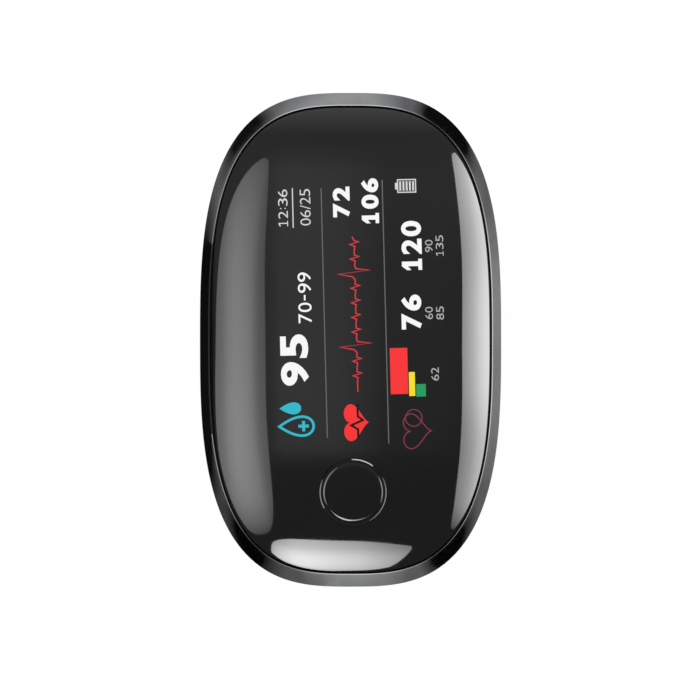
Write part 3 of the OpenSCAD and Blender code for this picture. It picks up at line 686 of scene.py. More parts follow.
# Each ring is (share of the way to the edge, inset, drop below the dome)
edge_start = 0.992
edge_bends = [math.pi / 2 * k / 6 for k in range(1, 7)]
edge_w = 1 - edge_start
top_steps = [0.0] + [0.02 * 1.34 ** k for k in range(6)] + [0.12 + 0.035 * k for k in range(24)]
top_steps += [0.95, 0.97, 0.983, edge_start]
under_steps = [1.0, 0.97, 0.93, 0.87, 0.79, 0.68, 0.55, 0.4, 0.25, 0.1, 0.0]
face_rings = [(r, 0, 0) for r in top_steps]
face_rings += [(edge_start + edge_w * math.sin(a), 0, edge_r * (1 - math.cos(a))) for a in edge_bends]
face_rings += [(1, 0, skirt_h - 0.15), (1, 0.1, skirt_h), (1, skirt_t, skirt_h)]
face_rings += [(r, skirt_t, lens_t) for r in under_steps]


def face_point(ring, turn):
    r, inset, drop = face_rings[ring]
    return (*squared((lens_a - inset) * r, (lens_b - inset) * r, bow_n(r), turn),
            lens_edge_z + crown_h * bow(r) - drop)


# Painted highlight: the lens gives a faint light of its own over the display, more behind its first two rows,
# in place of a soft patch of reflected light
lens_finish = finish("black_acrylic", (8, 8, 9), 0.04, tint=(60, 3, (6, 6, 7), (11, 11, 12)),
                     gloss=(220, 6, 0.025, 0.06))
painted_highlight_across = [(-11.0, 0), (-9.2, 0.6), (-7.4, 1), (-3.0, 0.97), (0.5, 0.68), (2.6, 0.42), (5.0, 0.17),
               (11.0, 0.12), (13.5, 0)]
painted_highlight_along = [(-15.6, 0), (-14.0, 0.35), (-12.2, 0.93), (-9, 1), (6, 0.84), (19.6, 0.7), (21.4, 0.38),
              (23.6, 0)]
painted_highlight_ramps = ([(at * MM, share) for at, share in ramp] for ramp in (painted_highlight_across, painted_highlight_along))
# The lens's faint emission here is a painted highlight
feed(lens_finish, "Emission Color", light_level(lens_finish.node_tree, 0.018, *painted_highlight_ramps))
feed(lens_finish, "Emission Strength", 1.0)

button_x, button_y = 0.3, -18.3
button_r = 3.6
hole_r = 4.1
face = skin("face_lens_moulding", 256, len(face_rings), face_point)
cut(face, round_bar("button_hole", button_x, button_y, hole_r, 20, 40))
dress(face, "face_lens", "face_black", lens_finish, angle=32)


# ---- Button ----
# A round press key of the same black acrylic, flush with the face. Its broken edge and the bevelled
# rim of the ring round it catch the light as two thin circles, with a dark slot between them.
def button_skin(name, top, foot, closed):
    """A piece round the button's axis. Its top has pairs of radius and drop below the face, and its foot
    has pairs of radius and height. A closed one ends where it starts."""
    rings = top + foot

    def spot(ring, turn):
        ring %= len(rings)
        radius, level = rings[ring]
        x, y = button_x + radius * math.cos(turn), button_y + radius * math.sin(turn)
        return (x, y, face_height(x, y) - level if ring < len(top) else level)

    return skin(name, 128, len(rings) + closed, spot)


cap_lo = box_mm("button_cap")[0].z
cap_edge, cap_drop = 0.17, 0.05
flange_lo, flange_hi, flange_r = 27.89, 28.54, 4.3
flange_edge = 0.08
stem_r = 1.1
edge_slope = math.tan(math.radians(25))
cap_top = [(radius, cap_drop) for radius in (0, 0.9, 1.8, 2.6, 3.1)]
cap_top += [(button_r - cap_edge - 0.03, 0.052), (button_r - cap_edge + 0.01, 0.065),
            (button_r - 0.02, cap_drop + cap_edge * edge_slope), (button_r, 0.08 + cap_edge * edge_slope)]
cap_foot = [(button_r, flange_hi), (flange_r - flange_edge, flange_hi), (flange_r, flange_hi - flange_edge),
            (flange_r, flange_lo + flange_edge), (flange_r - flange_edge, flange_lo), (stem_r, flange_lo),
            (stem_r, cap_lo + 0.1), (stem_r - 0.1, cap_lo), (0, cap_lo)]
press_key = button_skin("press_key", cap_top, cap_foot, closed=False)
dress(press_key, "button_cap", "button_black", lens_finish, angle=20)

key_ring_lo = box_mm("button_bezel")[0].z
ring_out, rim_in, ring_in = 4.05, 3.87, 3.7
slot_floor = 29.7
ring_top = [(ring_out, 0.03), (ring_out - 0.03, 0.0), (rim_in + 0.02, 0.15 * edge_slope), (rim_in, 0.12)]
ring_foot = [(rim_in, slot_floor), (ring_in, slot_floor), (ring_in, key_ring_lo), (ring_out, key_ring_lo)]
key_ring = button_skin("key_ring", ring_top, ring_foot, closed=True)
dress(key_ring, "button_bezel", "bezel_black", lens_finish, angle=20)


# ---- Lit figures of the display ----
# What the display shows through the tinted face: plain numbers, a pulse trace, level bars and four signs.
# Each is a thin lit film that follows the dome, laid out across the meter and read along its length.
figure_parts = {}


def drawing(points, faces, colour):
    """Flat faces in reading millimetres, kept until the film of their colour is made."""
    mesh = bpy.data.meshes.new("drawing")
    mesh.from_pydata([(x, y, 0) for x, y in points], [], faces)
    part = bpy.data.objects.new("drawing", mesh)
    bpy.context.collection.objects.link(part)
    figure_parts.setdefault(colour, []).append(part)


def filled(points, colour):
    drawing(points, [tuple(range(len(points)))], colour)


def bar(along, up, width, height, colour):
    w, h = width / 2, height / 2
    filled([(along - w, up - h), (along + w, up - h), (along + w, up + h), (along - w, up + h)], colour)


def stroke(points, width, colour, closed=False):
    """A line of even width with mitred corners through the points."""
    count = len(points)
    corners = []
    for k, point in enumerate(points):
        here = Vector(point)
        before = Vector(points[(k - 1) % count]) if closed or k else None
        after = Vector(points[(k + 1) % count]) if closed or k < count - 1 else None
        first = (here - before).normalized() if before is not None else (after - here).normalized()
        second = (after - here).normalized() if after is not None else first
        normal = Vector((-first.y - second.y, first.x + second.x)).normalized()
        spread = min(width / 2 / max(normal.dot(Vector((-first.y, first.x))), 0.35), width * 1.2)
        corners += [tuple(here + normal * spread), tuple(here - normal * spread)]
    faces = [(2 * k, 2 * k + 1, (2 * k + 3) % (2 * count), (2 * k + 2) % (2 * count))
             for k in range(count if closed else count - 1)]
    drawing(corners, faces, colour)


def as_mesh(piece, name):
    """Turns a text or a curve into a mesh."""
    pick(piece)
    bpy.ops.object.convert(target="MESH")
    mesh_piece = bpy.context.object
    mesh_piece.name = mesh_piece.data.name = name
    return mesh_piece


def glyph(letter, weight, colour, along, up, width, height):
    """A figure scaled into its box of the screen; weight makes its strokes wider."""
    text = new_piece(bpy.ops.object.text_add, "figure")
    text.data.body = letter
    text.data.offset = weight
    text.data.resolution_u = 5
    part = as_mesh(text, "figure")
    for axis, (middle, size) in enumerate(((along, width), (up, height))):
        places = [corner.co[axis] for corner in part.data.vertices]
        low, high = min(places), max(places)
        for corner in part.data.vertices:
            corner.co[axis] = (corner.co[axis] - (low + high) / 2) / (high - low) * size + middle
    figure_parts.setdefault(colour, []).append(part)


def figure_one(along, up, width, height, line, colour):
    """A figure one with a flag and a foot."""
    left, right, low, high = along - width / 2, along + width / 2, up - height / 2, up + height / 2
    stem_left, stem_right = along + width * 0.06 - line / 2, along + width * 0.06 + line / 2
    foot = low + line * 0.8
    filled([(left, low), (right, low), (right, foot), (stem_right, foot), (stem_right, high),
            (stem_left, high), (left, high - line * 1.1), (left, high - line * 2.0),
            (stem_left, high - line * 1.3), (stem_left, foot), (left, foot)], colour)


def number(text, along, up, width, height, line, colour="white"):
    """Figures of one width side by side, with strokes about as wide as line, in a box of the screen."""
    narrow = {":": 0.45, "/": 0.6, "-": 0.75}
    shares = [narrow.get(letter, 1.0) for letter in text]
    step = width / (sum(shares) - 0.12)
    at = along - width / 2 - step * 0.06
    natural_line = 0.09
    weight = (line / height * 0.7 - natural_line) / 2
    for letter, share in zip(text, shares):
        middle = at + step * share / 2
        at += step * share
        boxes = {":": (line * 1.1, height * 0.62), "-": (step * 0.5, line)}
        if letter == "1":
            figure_one(middle, up, step * 0.62, height, line, colour)
        else:
            glyph(letter, weight, colour, middle, up, *boxes.get(letter, (step * share * 0.86, height)))


number("12:36", 12.77, 9.03, 4.60, 1.14, 0.13, "silver")
bar(12.8, 7.85, 4.79, 0.13, "silver")
number("06/25", 12.84, 6.35, 4.40, 1.25, 0.13, "silver")
number("70-99", 2.0, 6.68, 6.10, 1.60, 0.2)
number("95", -5.42, 8.09, 6.20, 3.35, 0.76)
number("72", 13.36, 2.02, 3.70, 2.02, 0.52)
number("106", 13.3, -1.42, 5.70, 2.06, 0.52)
number("120", 7.81, -6.25, 6.20, 2.42, 0.56)
number("76", -0.03, -6.04, 4.20, 2.42, 0.56)
for text, along, up, width in (("90", 7.83, -8.33, 1.50), ("135", 7.81, -9.62, 2.60),
                               ("60", -0.2, -8.14, 1.50), ("85", -0.23, -9.47, 1.60),
                               ("62", -7.52, -8.68, 1.60)):
    number(text, along, up, width, 0.92, 0.11, "pewter")
bar(0.11, 4.4, 29.9, 0.13, "grey")
bar(0.11, -2.93, 31.6, 0.13, "grey")
bar(-7.05, -4.37, 5.51, 2.10, "red")
bar(-8.64, -5.89, 2.87, 0.72, "yellow")
bar(-9.42, -6.95, 1.50, 1.16, "green")

# A pulse trace: the same small beat at an even pitch, with two tall ones in it
beat_pitch, first_beat, trace_up = 1.745, -7.4, 0.6
small_beat = [(-0.8, 0.03), (-0.32, -0.06), (-0.08, 0.52), (0.22, -0.5), (0.38, 0.02)]
tall_beat = [(-0.8, 0.0), (-0.45, 0.32), (-0.12, 2.0), (0.3, -1.75), (0.5, -0.1)]
trace = [(-9.4, 0.0)]
for k in range(10):
    trace += [(beat_pitch * k + first_beat + x, y) for x, y in (tall_beat if k in (2, 7) else small_beat)]
trace.append((9.15, 0.25))
stroke([(x, y + trace_up) for x, y in trace], 0.15, "rose")

# A battery sign with five bars
battery_at, battery_up = 15.11, -5.73
battery_case = ((-0.76, -1.2), (0.76, -1.2), (0.76, 0.95), (-0.76, 0.95))
stroke([(battery_at + x, battery_up + y) for x, y in battery_case], 0.14, "silver", closed=True)
bar(battery_at, battery_up + 1.12, 0.8, 0.3, "silver")
for k in range(5):
    bar(battery_at, battery_up - 0.9 + 0.385 * k, 1.14, 0.22, "silver")


def full_turn(steps):
    return [math.tau * k / steps for k in range(steps)]


def drop_outline(along, up, size):
    """A falling drop whose point leads up, size high."""
    return [(along + 0.36 * size * math.sin(a) * math.sin(a / 2), up + 0.5 * size * math.cos(a))
            for a in full_turn(40)]


def heart_outline(along, up, width, height):
    points = []
    for a in full_turn(56):
        y = (13 * math.cos(a) - 5 * math.cos(2 * a) - 2 * math.cos(3 * a) - math.cos(4 * a)) / 16
        points.append((along + width / 2 * math.sin(a) ** 3, up + height / 2 * (y + 0.15)))
    return points


stroke(drop_outline(-13.35, 8.05, 4.1), 0.3, "teal", closed=True)
filled(drop_outline(-11.2, 8.75, 2.6), "teal")
bar(-13.35, 7.2, 1.25, 0.36, "teal")
bar(-13.35, 7.2, 0.36, 1.25, "teal")
filled(heart_outline(-13.08, 0.87, 4.43, 3.35), "red")
stroke([(-15.0, 0.7), (-13.9, 0.7), (-13.4, 1.5), (-12.8, 0.1), (-12.35, 0.7), (-10.9, 0.7)], 0.26, "black")
stroke(heart_outline(-14.3, -6.4, 4.2, 3.7), 0.13, "dark_red", closed=True)
stroke([(-12.7 + math.cos(a), -6.0 + math.sin(a)) for a in full_turn(28)], 0.12, "dark_red", closed=True)


def lit_film(name, colour, strength):
    """A dark film that gives its own light, through the fine grid of the display."""
    material = finish(name, (0, 0, 0), 0.05)
    tree = material.node_tree
    grid = span(tree, grain(tree, 5200, 1), 0, 1, 0.93, 1.0)
    shade = add_node(tree, "Mix", {"Factor": 1, "A": rgb(*colour), "B": grid}, data_type="RGBA",
                     blend_type="MULTIPLY")
    feed(material, "Base Color", (0.002, 0.002, 0.002, 1))
    feed(material, "Emission Color", shade.outputs["Result"])
    feed(material, "Emission Strength", strength)
    return material


def joined(pieces, name):
    pick(*pieces)
    if len(pieces) > 1:
        bpy.ops.object.join()
    pieces[0].name = pieces[0].data.name = name
    return pieces[0]


screen_x, screen_y = 1.245, 3.183
lean = math.radians(1.45)


def on_screen(at, lift):
    """The place on the dome, raised by lift, of a point of the drawings."""
    x = screen_x - at.y * math.cos(lean) - at.x * math.sin(lean)
    y = screen_y + at.x * math.cos(lean) - at.y * math.sin(lean)
    return (x, y, face_height(x, y) + lift)


figure_colours = {
    "white": (250, 250, 250), "silver": (214, 214, 214), "pewter": (176, 176, 176), "grey": (100, 101, 101),
    "red": (250, 48, 50), "rose": (216, 52, 62), "dark_red": (132, 50, 70), "teal": (47, 184, 204),
    "yellow": (245, 224, 39), "green": (31, 154, 94), "black": (24, 24, 24),
}
film_t = 0.06
grid_step = 1.3
for colour, parts in figure_parts.items():
    film = joined(parts, f"lit_{colour}")
    film.data.materials.clear()
    bpy.ops.object.mode_set(mode="EDIT")
    bpy.ops.mesh.select_all(action="SELECT")
    bpy.ops.mesh.remove_doubles(threshold=0.004)
    for axis, half_screen in ((0, 17), (1, 11)):
        lines = int(half_screen / grid_step)
        for k in range(-lines, lines + 1):
            spot, normal = [0, 0, 0], [0, 0, 0]
            spot[axis], normal[axis] = k * grid_step, 1
            bpy.ops.mesh.select_all(action="SELECT")
            bpy.ops.mesh.bisect(plane_co=spot, plane_no=normal)
    bpy.ops.object.mode_set(mode="OBJECT")
    lift, strength = (0.01, 0.0) if colour == "black" else (0.0, 1.0)
    reshape(film, functools.partial(on_screen, lift=lift))
    apply_change(film, "SOLIDIFY", thickness=film_t * MM, offset=0)
    film.data.materials.append(lit_film(f"lit_{colour}", figure_colours[colour], strength))
    smooth(film, 35)
    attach(film, "upper_jaw")


# ---- Finger pads ----
# Two half cups of soft grey silicone that line the finger channel. They are moulded with low ribs
# across the finger, a rounded blind end and a rolled lip at the mouth, and have a hole for the window.
pad_finish = finish("silicone_rubber", (52, 54, 58), 0.6, tint=(700, 5, (46, 48, 52), (60, 62, 66)),
                    gloss=(500, 4, 0.5, 0.68), relief=(4200, 3, 0.012, 0.5))
pad_t = 1.0
pad_x, pad_z = mouth_x - 0.1, mouth_z - 0.1
stop_y = -5.4
pad_lip_r = 0.42
rib_pitch, rib_h, rib_steps = 1.9, 0.14, 8
rib_end = 22.5
blind_r = 1.6


def mouth_edge(x, z, inset):
    """Where the front of the case lies over a place of the mouth."""
    inside = inset + drawn_in(z)
    share = min(abs(x) / (half_w - inside), 1)
    return (half_l - inside) * (1 - share ** outline_n) ** (1 / outline_n)


def rib(y):
    """Height of the ribs at a place along the finger."""
    swell = 0.5 - 0.5 * math.cos(math.tau * (y - stop_y) / rib_pitch)
    fade = min(max((y - stop_y - 2.5) / 1.5, 0), 1) * min(max((rib_end - y) / 1.5, 0), 1)
    return rib_h * swell ** 3 * fade


# Each ring is (share of the oval, inset of the oval, place along Y, place back from the mouth or None)
pad_end = stop_y - pad_t
pad_rings = [(0, 0, pad_end, None), (0.9, 0, pad_end, None), (0.97, 0, pad_end + 0.06, None),
             (1, 0, pad_end + 0.25, None)]
pad_rings += [(1, 0, stop_y + 4.0 * k, None) for k in range(8)]
pad_rings += [(1, 0, 0, 0.6), (1, 0, 0, 0.25), (1, 0.03, 0, 0.19), (1, 0.12, 0, 0.15)]
for roll in map(math.radians, (90, 70, 50, 30, 15, 0)):
    pad_rings.append((1, pad_t - pad_lip_r * math.sin(roll), 0, 0.15 + pad_lip_r * (1 - math.cos(roll))))
rib_rings = int((rib_end - stop_y - blind_r) / rib_pitch * rib_steps) + 1
rib_places = [rib_end - k * rib_pitch / rib_steps for k in range(rib_rings)]
pad_rings += [(1, pad_t + rib(y), y, None) for y in rib_places]
for bend in (math.radians(11.25 * k) for k in range(1, 9)):
    inset = pad_t + blind_r * (1 - math.cos(bend))
    pad_rings.append((1, inset, stop_y + blind_r * (1 - math.sin(bend)), None))
pad_rings += [(0.5, pad_t + blind_r, stop_y, None), (0, 0, stop_y, None)]


def pad_point(ring, turn):
    share, inset, y, back = pad_rings[ring]
    x = (pad_x - inset) * share * math.cos(turn)
    z = parting_z + (pad_z - inset) * share * math.sin(turn)
    return (x, y if back is None else mouth_edge(x, z, 0.2) - back, z)


window_lo, window_hi = box_mm("sensor_window")
window_x, window_y = ((window_lo[axis] - 0.1, window_hi[axis] + 0.1) for axis in (0, 1))
for node, side in (("lower_finger_pad", -1), ("upper_finger_pad", 1)):
    pad = skin(f"{node}_moulding", 128, len(pad_rings), pad_point)
    pad_lo, pad_hi = box_mm(node)
    other_z = (pad_hi.z, 60) if side < 0 else (-20, pad_lo.z)
    hole_z = (0, parting_z - 1.5) if side < 0 else (parting_z + 1.5, 40)
    cut(pad, block("other_half", (-40, 40), (-40, 60), other_z),
        block("window_hole", window_x, window_y, hole_z))
    dress(pad, node, "silicone", pad_finish, angle=40)


# ---- Battery door ----
# A flat lid of the case's black ABS. Its tongues run in tracks in the lower case, its outside follows
# the curve of the base, and finger grooves help to push it off towards the button end.
def base_point(ring, turn):
    """A closed form with the outside of the lower case, up to a little over the door."""
    top = 3
    if ring in (0, base_rings + 2):
        return (0, 0, 0 if ring == 0 else top)
    return case_point(*base_curve(top, ring - 1), turn)


def break_edges(piece, width, segments=2):
    """A small radius on every sharp edge."""
    apply_change(piece, "BEVEL", width=width * MM, segments=segments, limit_method="ANGLE",
                 angle_limit=math.radians(40), use_clamp_overlap=True)


tongue_z = 0.91
lid_half = door_hi.x - 0.8
lid = block("battery_lid", (-lid_half, lid_half), (-40, door_hi.y), (door_lo.z, tongue_z + 0.1))
combine(lid, "UNION", block("tongues", (-door_hi.x, door_hi.x), (-40, door_hi.y), (tongue_z, door_hi.z)))
break_edges(lid, 0.08)
combine(lid, "INTERSECT", skin("base_form", 200, base_rings + 3, base_point))
grip_r = 0.35
for k in range(4):
    groove_y = 11 - half_l + 2 * k
    cut(lid, oval_bar("grip_groove", grip_r, grip_r, -5, 5, (groove_y, door_lo.z), axis="X", corners=24))
dress(lid, "battery_door", "case_black", case_finish)


# ---- Cells ----
# Two plain AAA cells, each a steel can in a shrunk bronze jacket with a darker band near each end.
# The jacket wraps over both rims, and a raised positive cap stands on a grey washer at one end.
def plated_steel(name, colour, low, high, stretch=(1, 1, 1)):
    return finish(name, colour, low, metallic=1.0, gloss=(900, 5, low, high, stretch),
                  relief=(3600, 3, 0.002, 0.3, stretch))


def turned(name, corners, profile, axis, centre):
    """A turned piece, closed on its axis; the profile is pairs of place along the axis and radius."""
    def spot(ring, turn):
        along, radius = profile[ring]
        across, up = radius * math.cos(turn), radius * math.sin(turn)
        places = {"X": (along, across, up), "Y": (across, along, up)}
        return tuple(a + b for a, b in zip(centre, places[axis]))

    return skin(name, corners, len(profile), spot)


jacket = finish("jacket_film", (176, 128, 52), 0.28, metallic=0.55, gloss=(240, 5, 0.2, 0.34, (1, 0.15, 1)))
tree = jacket.node_tree
from_middle = maths(tree, "ABSOLUTE", add_node(tree, "SeparateXYZ", {0: object_place(tree)}).outputs["Y"])
near_end = maths(tree, "GREATER_THAN", from_middle, 13.5 * MM)
feed(jacket, "Base Color", two_colours(tree, near_end, rgb(176, 128, 52), rgb(44, 44, 48)))
can_steel = plated_steel("can_steel", (178, 180, 184), 0.22, 0.34)

cell_r, rim = 5.25, 0.35
nub_r, nub_l = 1.9, 0.8
washer_r = 4.25
flat_end = [(0.25, 0), (0.25, 3.6), (0.05, 3.9), (0, 4.2), (0, cell_r - rim), (0.12, cell_r - 0.12),
            (rim, cell_r), (14, cell_r)]
nub_end = [(-14, cell_r), (-1.1, cell_r), (-rim, cell_r - 0.03), (-0.1, cell_r - 0.14), (0, cell_r - rim),
           (0, 4.3), (-0.3, 4.1), (-0.3, nub_r + 0.35), (-0.1, nub_r + 0.1), (nub_l - 0.15, nub_r),
           (nub_l, nub_r - 0.15), (nub_l, 0)]
for node, toward in (("cell_left", -1), ("cell_right", 1)):
    lo, hi = box_mm(node)
    axis_x, axis_z = (lo.x + hi.x) / 2, (lo.z + hi.z) / 2
    flat, tip = (hi.y, lo.y) if toward < 0 else (lo.y, hi.y)
    profile = [(flat + toward * along, radius) for along, radius in flat_end]
    profile += [(tip + toward * (along - nub_l), radius) for along, radius in nub_end]
    cell = turned(f"{node}_aaa", 96, profile, "Y", (axis_x, 0, axis_z))
    dress(cell, node, "cell_jacket", jacket, can_steel, angle=40)
    for side in cell.data.polygons:
        from_axis = math.hypot(side.center.x / MM - axis_x, side.center.z / MM - axis_z)
        side.material_index = int(from_axis < washer_r)


# ---- Battery contacts ----
# Nickel-plated steel: stamped plates at both ends of the bay, and two cone springs wound from wire.
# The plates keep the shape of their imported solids, with whole faces and broken edges.
def softened(node, name, width, slot, material, segments=2):
    """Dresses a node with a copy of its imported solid, its flat faces made whole and its edges broken."""
    piece = bpy.data.objects.new(name, frame["nodes"][node].data.copy())
    piece.data.name = name
    piece.data.materials.clear()
    bpy.context.collection.objects.link(piece)
    pick(piece)
    bpy.ops.object.mode_set(mode="EDIT")
    bpy.ops.mesh.select_all(action="SELECT")
    bpy.ops.mesh.remove_doubles(threshold=0.002 * MM)
    bpy.ops.mesh.select_all(action="SELECT")
    bpy.ops.mesh.dissolve_limited(angle_limit=math.radians(1))
    bpy.ops.object.mode_set(mode="OBJECT")
    for side in piece.data.polygons:
        side.use_smooth = False
    break_edges(piece, width, segments)
    dress(piece, node, slot, material, angle=20, even=True)


contact_nickel = plated_steel("contact_nickel", (198, 196, 188), 0.2, 0.36)
softened("bridge_contact", "bridge_plate", 0.08, "contact_plate", contact_nickel)
softened("terminal_plates", "terminal_tabs", 0.08, "contact_plate", contact_nickel)


def wire(name, points, radius, sides=3):
    """A round wire through points in mm."""
    curve = bpy.data.curves.new(name, "CURVE")
    curve.dimensions = "3D"
    curve.bevel_depth = radius * MM
    curve.bevel_resolution = sides
    curve.use_fill_caps = True
    line = curve.splines.new("POLY")
    line.points.add(len(points) - 1)
    for knot, spot in zip(line.points, points):
        knot.co = (*(Vector(spot) * MM), 1)
    path = bpy.data.objects.new(name, curve)
    bpy.context.collection.objects.link(path)
    piece = as_mesh(path, name)
    close_up(piece, 0.0005)
    return piece


cell_x, cell_z = 5.6, 6.95
wide_r, tip_r, thin_wire = 3.2, 2.0, 0.25
spring_run, spring_turns, spring_steps = 2.45, 3.5, 126
spring_back = box_mm("contact_springs")[1].y - thin_wire
cones = []
for side in (-1, 1):
    path = []
    for k in range(spring_steps + 1):
        share = k / spring_steps
        a = math.tau * spring_turns * share
        r = wide_r + (tip_r - wide_r) * share
        path.append((side * cell_x + r * math.cos(a), -side * (spring_back - spring_run * share),
                     cell_z + r * math.sin(a)))
    cones.append(wire("cone_spring", path, thin_wire))
spring_wire = plated_steel("spring_wire", (176, 178, 182), 0.16, 0.3)
dress(joined(cones, "cone_springs"), "contact_springs", "spring_steel", spring_wire, angle=60, even=True)


# ---- Hinge ----
# A ground steel pin through four ears, held by a snap ring near each end, with a torsion spring at
# each side that is wound from music wire. One leg of a spring lies in each jaw.
hinge_middle = (0, hinge_y, parting_z)
pin_r, pin_end, clip_x, clip_t, groove_r = 1.0, 13.9, 13.3, 0.4, 0.8
groove_in, groove_out = clip_x - 0.1, clip_x + clip_t + 0.1
half_pin = [(pin_end, 0), (pin_end, pin_r - 0.15), (pin_end - 0.15, pin_r), (groove_out, pin_r),
            (groove_out, groove_r), (groove_in, groove_r), (groove_in, pin_r)]
pin = turned("hinge_rod", 64, half_pin + [(-x, r) for x, r in reversed(half_pin)], "X", hinge_middle)
pin_steel = plated_steel("ground_steel", (186, 188, 192), 0.12, 0.2, (0.1, 1, 1))
dress(pin, "hinge_pin", "spring_steel", pin_steel, angle=30, even=True)

clip_r, eye_r = 1.7, 0.35
snap_rings = []
for side in (-1, 1):
    x0, x1 = sorted((side * clip_x, side * (clip_x + clip_t)))
    half_ring = [(0.04, groove_r + 0.1), (0, groove_r + 0.14), (0, clip_r - 0.06), (0.05, clip_r)]
    profile = [(x0 + x, r) for x, r in half_ring] + [(x1 - x, r) for x, r in reversed(half_ring)]
    snap_ring = turned("snap_ring", 72, profile + profile[:1], "X", hinge_middle)
    mouth = (parting_z - 0.45, parting_z + 0.45)
    cut(snap_ring, block("snap_mouth", (-20, 20), (hinge_y - 4, hinge_y), mouth))
    for eye_z in (parting_z - 0.95, parting_z + 0.95):
        cut(snap_ring, oval_bar("eye", eye_r, eye_r, -20, 20, (hinge_y + 0.75, eye_z), axis="X", corners=20))
    snap_rings.append(snap_ring)
ring_steel = plated_steel("ring_steel", (120, 118, 114), 0.26, 0.4)
dress(joined(snap_rings, "snap_rings"), "pin_clips", "screw_steel", ring_steel, angle=30, even=True)

coil_r, coil_wire, coil_x, coil_pitch, coil_turns, coil_steps = 2.0, 0.35, 5.425, 0.75, 4.5, 34
leg_y, leg_step = hinge_y - 7.5, 1.9
music_wire = plated_steel("music_wire", (150, 152, 156), 0.2, 0.32)
leg_low, leg_high = (corner.z for corner in box_mm("jaw_spring_right"))
leg_low, leg_high = leg_low + coil_wire + 0.05, leg_high - coil_wire - 0.05
leg_rises = [(parting_z - coil_r - leg_low) * (0.25 * k) ** 1.5 for k in range(4)]
for side, node in ((1, "jaw_spring_right"), (-1, "jaw_spring_left")):
    path = [(side * coil_x, leg_y + leg_step * k, leg_low + rise) for k, rise in enumerate(leg_rises)]
    for k in range(int(coil_turns * coil_steps) + 1):
        a = math.tau * k / coil_steps
        path.append((side * (coil_x + coil_pitch * k / coil_steps), hinge_y + coil_r * math.sin(a),
                     parting_z - coil_r * math.cos(a)))
    end_x = side * (coil_x + coil_pitch * coil_turns)
    path += [(end_x, leg_y + leg_step * k, leg_high - leg_rises[k]) for k in (3, 2, 1, 0)]
    dress(wire(f"torsion_{node}", path, coil_wire, 4), node, "spring_steel", music_wire, angle=60,
          blend=((side * (coil_x + 0.1), hinge_y, parting_z), (end_x - side * 0.1, hinge_y, parting_z)))


# ---- Inner covers and battery tray ----
# Textured black ABS mouldings with a small radius on their edges. Each cover closes its jaw under the
# finger pad and carries two hinge ears; the tray holds the cells in the lower case.
inner_abs = finish("textured_abs", (34, 34, 36), 0.5, tint=(1300, 5, (29, 29, 31), (40, 40, 42)),
                   gloss=(800, 4, 0.42, 0.6), relief=(3000, 4, 0.02, 0.6))
softened("lower_cover", "lower_inner_cover", 0.1, "inner_plastic", inner_abs)
softened("upper_cover", "upper_inner_cover", 0.1, "inner_plastic", inner_abs)
softened("battery_tray", "cell_tray", 0.1, "inner_plastic", inner_abs)


# ---- Screws ----
# Zinc-plated self-tapping screws with pan heads and cross recesses: eight hold the inner covers to the
# case halves and three hold the board and the display bracket. The thread is cut as a true helix.
screw_zinc = plated_steel("screw_zinc", (168, 170, 174), 0.26, 0.42)
head_r, shank_r, thread_h, thread_pitch = 1.4, 0.6, 0.13, 0.55
ring_step = thread_pitch / 8
neck, point_l, point_rings = 0.35, 0.7, 8
recess_half, recess_w, recess_depth = 0.82, 0.17, 0.42


def screw_blank(name, length, head_h):
    """A screw that points down, with the top of its head at the origin."""
    crown = [(0, 0), (0.5, -0.01), (0.9, -0.05), (1.2, -0.16), (head_r, -0.34), (head_r, -head_h + 0.05),
             (head_r - 0.05, -head_h), (shank_r + 0.1, -head_h)]
    threaded = int((length - neck - point_l - 0.05) / ring_step)
    thread_top = -head_h - neck

    def spot(ring, turn):
        below = ring - len(crown)
        if below < 0:
            radius, z = crown[ring]
        elif below < threaded:
            z = thread_top - below * ring_step
            phase = (z / thread_pitch - turn / math.tau) % 1
            radius = shank_r - thread_h * min(abs(phase - 0.5) * 2.6, 1) * min(below / 6, 1)
        else:
            share = min((below - threaded + 1) / point_rings, 1)
            z = thread_top - threaded * ring_step - point_l * share
            radius = (shank_r - thread_h) * (1 - share) ** 0.8
        return (radius * math.cos(turn), radius * math.sin(turn), z)

    screw = skin(name, 28, len(crown) + threaded + point_rings, spot)
    long_side, short_side = (-recess_half, recess_half), (-recess_w, recess_w)
    cut(screw, block("recess", long_side, short_side, (-recess_depth, 1)),
        block("recess", short_side, long_side, (-recess_depth, 1)))
    return screw


def screw_set(node, length, head_h, seats, over=1):
    """Copies of one screw at seats of (x, y, top of head), as one piece; over is -1 where they point up."""
    blank = screw_blank(f"{node}_blank", length, head_h)
    copies = []
    for x, y, top in seats:
        one = blank.copy()
        one.data = blank.data.copy()
        bpy.context.collection.objects.link(one)
        for corner in one.data.vertices:
            at = corner.co
            corner.co = Vector((at.x + x * MM, over * at.y + y * MM, over * at.z + top * MM))
        copies.append(one)
    bpy.data.objects.remove(blank)
    dress(joined(copies, f"{node}_pan_head"), node, "screw_steel", screw_zinc, angle=45, even=True)


board_top = box_mm("board_screws")[1].z
screw_set("lower_screws", 6, 0.75, [(x, y, parting_z - cover_height[y]) for x, y in case_screws])
screw_set("upper_screws", 2.86, 0.75, [(x, y, parting_z + cover_height[y]) for x, y in case_screws], over=-1)
screw_set("board_screws", 2, 0.7, [(8.5, -20.4, board_top), (6.5, 22.8, board_top), (-6.5, 22.8, board_top)])


# ---- Flexible circuits ----
# Amber polyimide ribbons with etched copper lines. One crosses the hinge beside the pin, from the sensor
# to the main board, and one folds from the display down to its socket.
def bent(points, radius, steps=7):
    """A path through the points with its corners rounded."""
    path = [Vector(points[0])]
    for before, corner, after in zip(points, points[1:], points[2:]):
        corner = Vector(corner)
        start = corner + (Vector(before) - corner).normalized() * radius
        end = corner + (Vector(after) - corner).normalized() * radius
        for k in range(steps + 1):
            share = k / steps
            path.append(start.lerp(corner, share).lerp(corner.lerp(end, share), share))
    return path + [Vector(points[-1])]


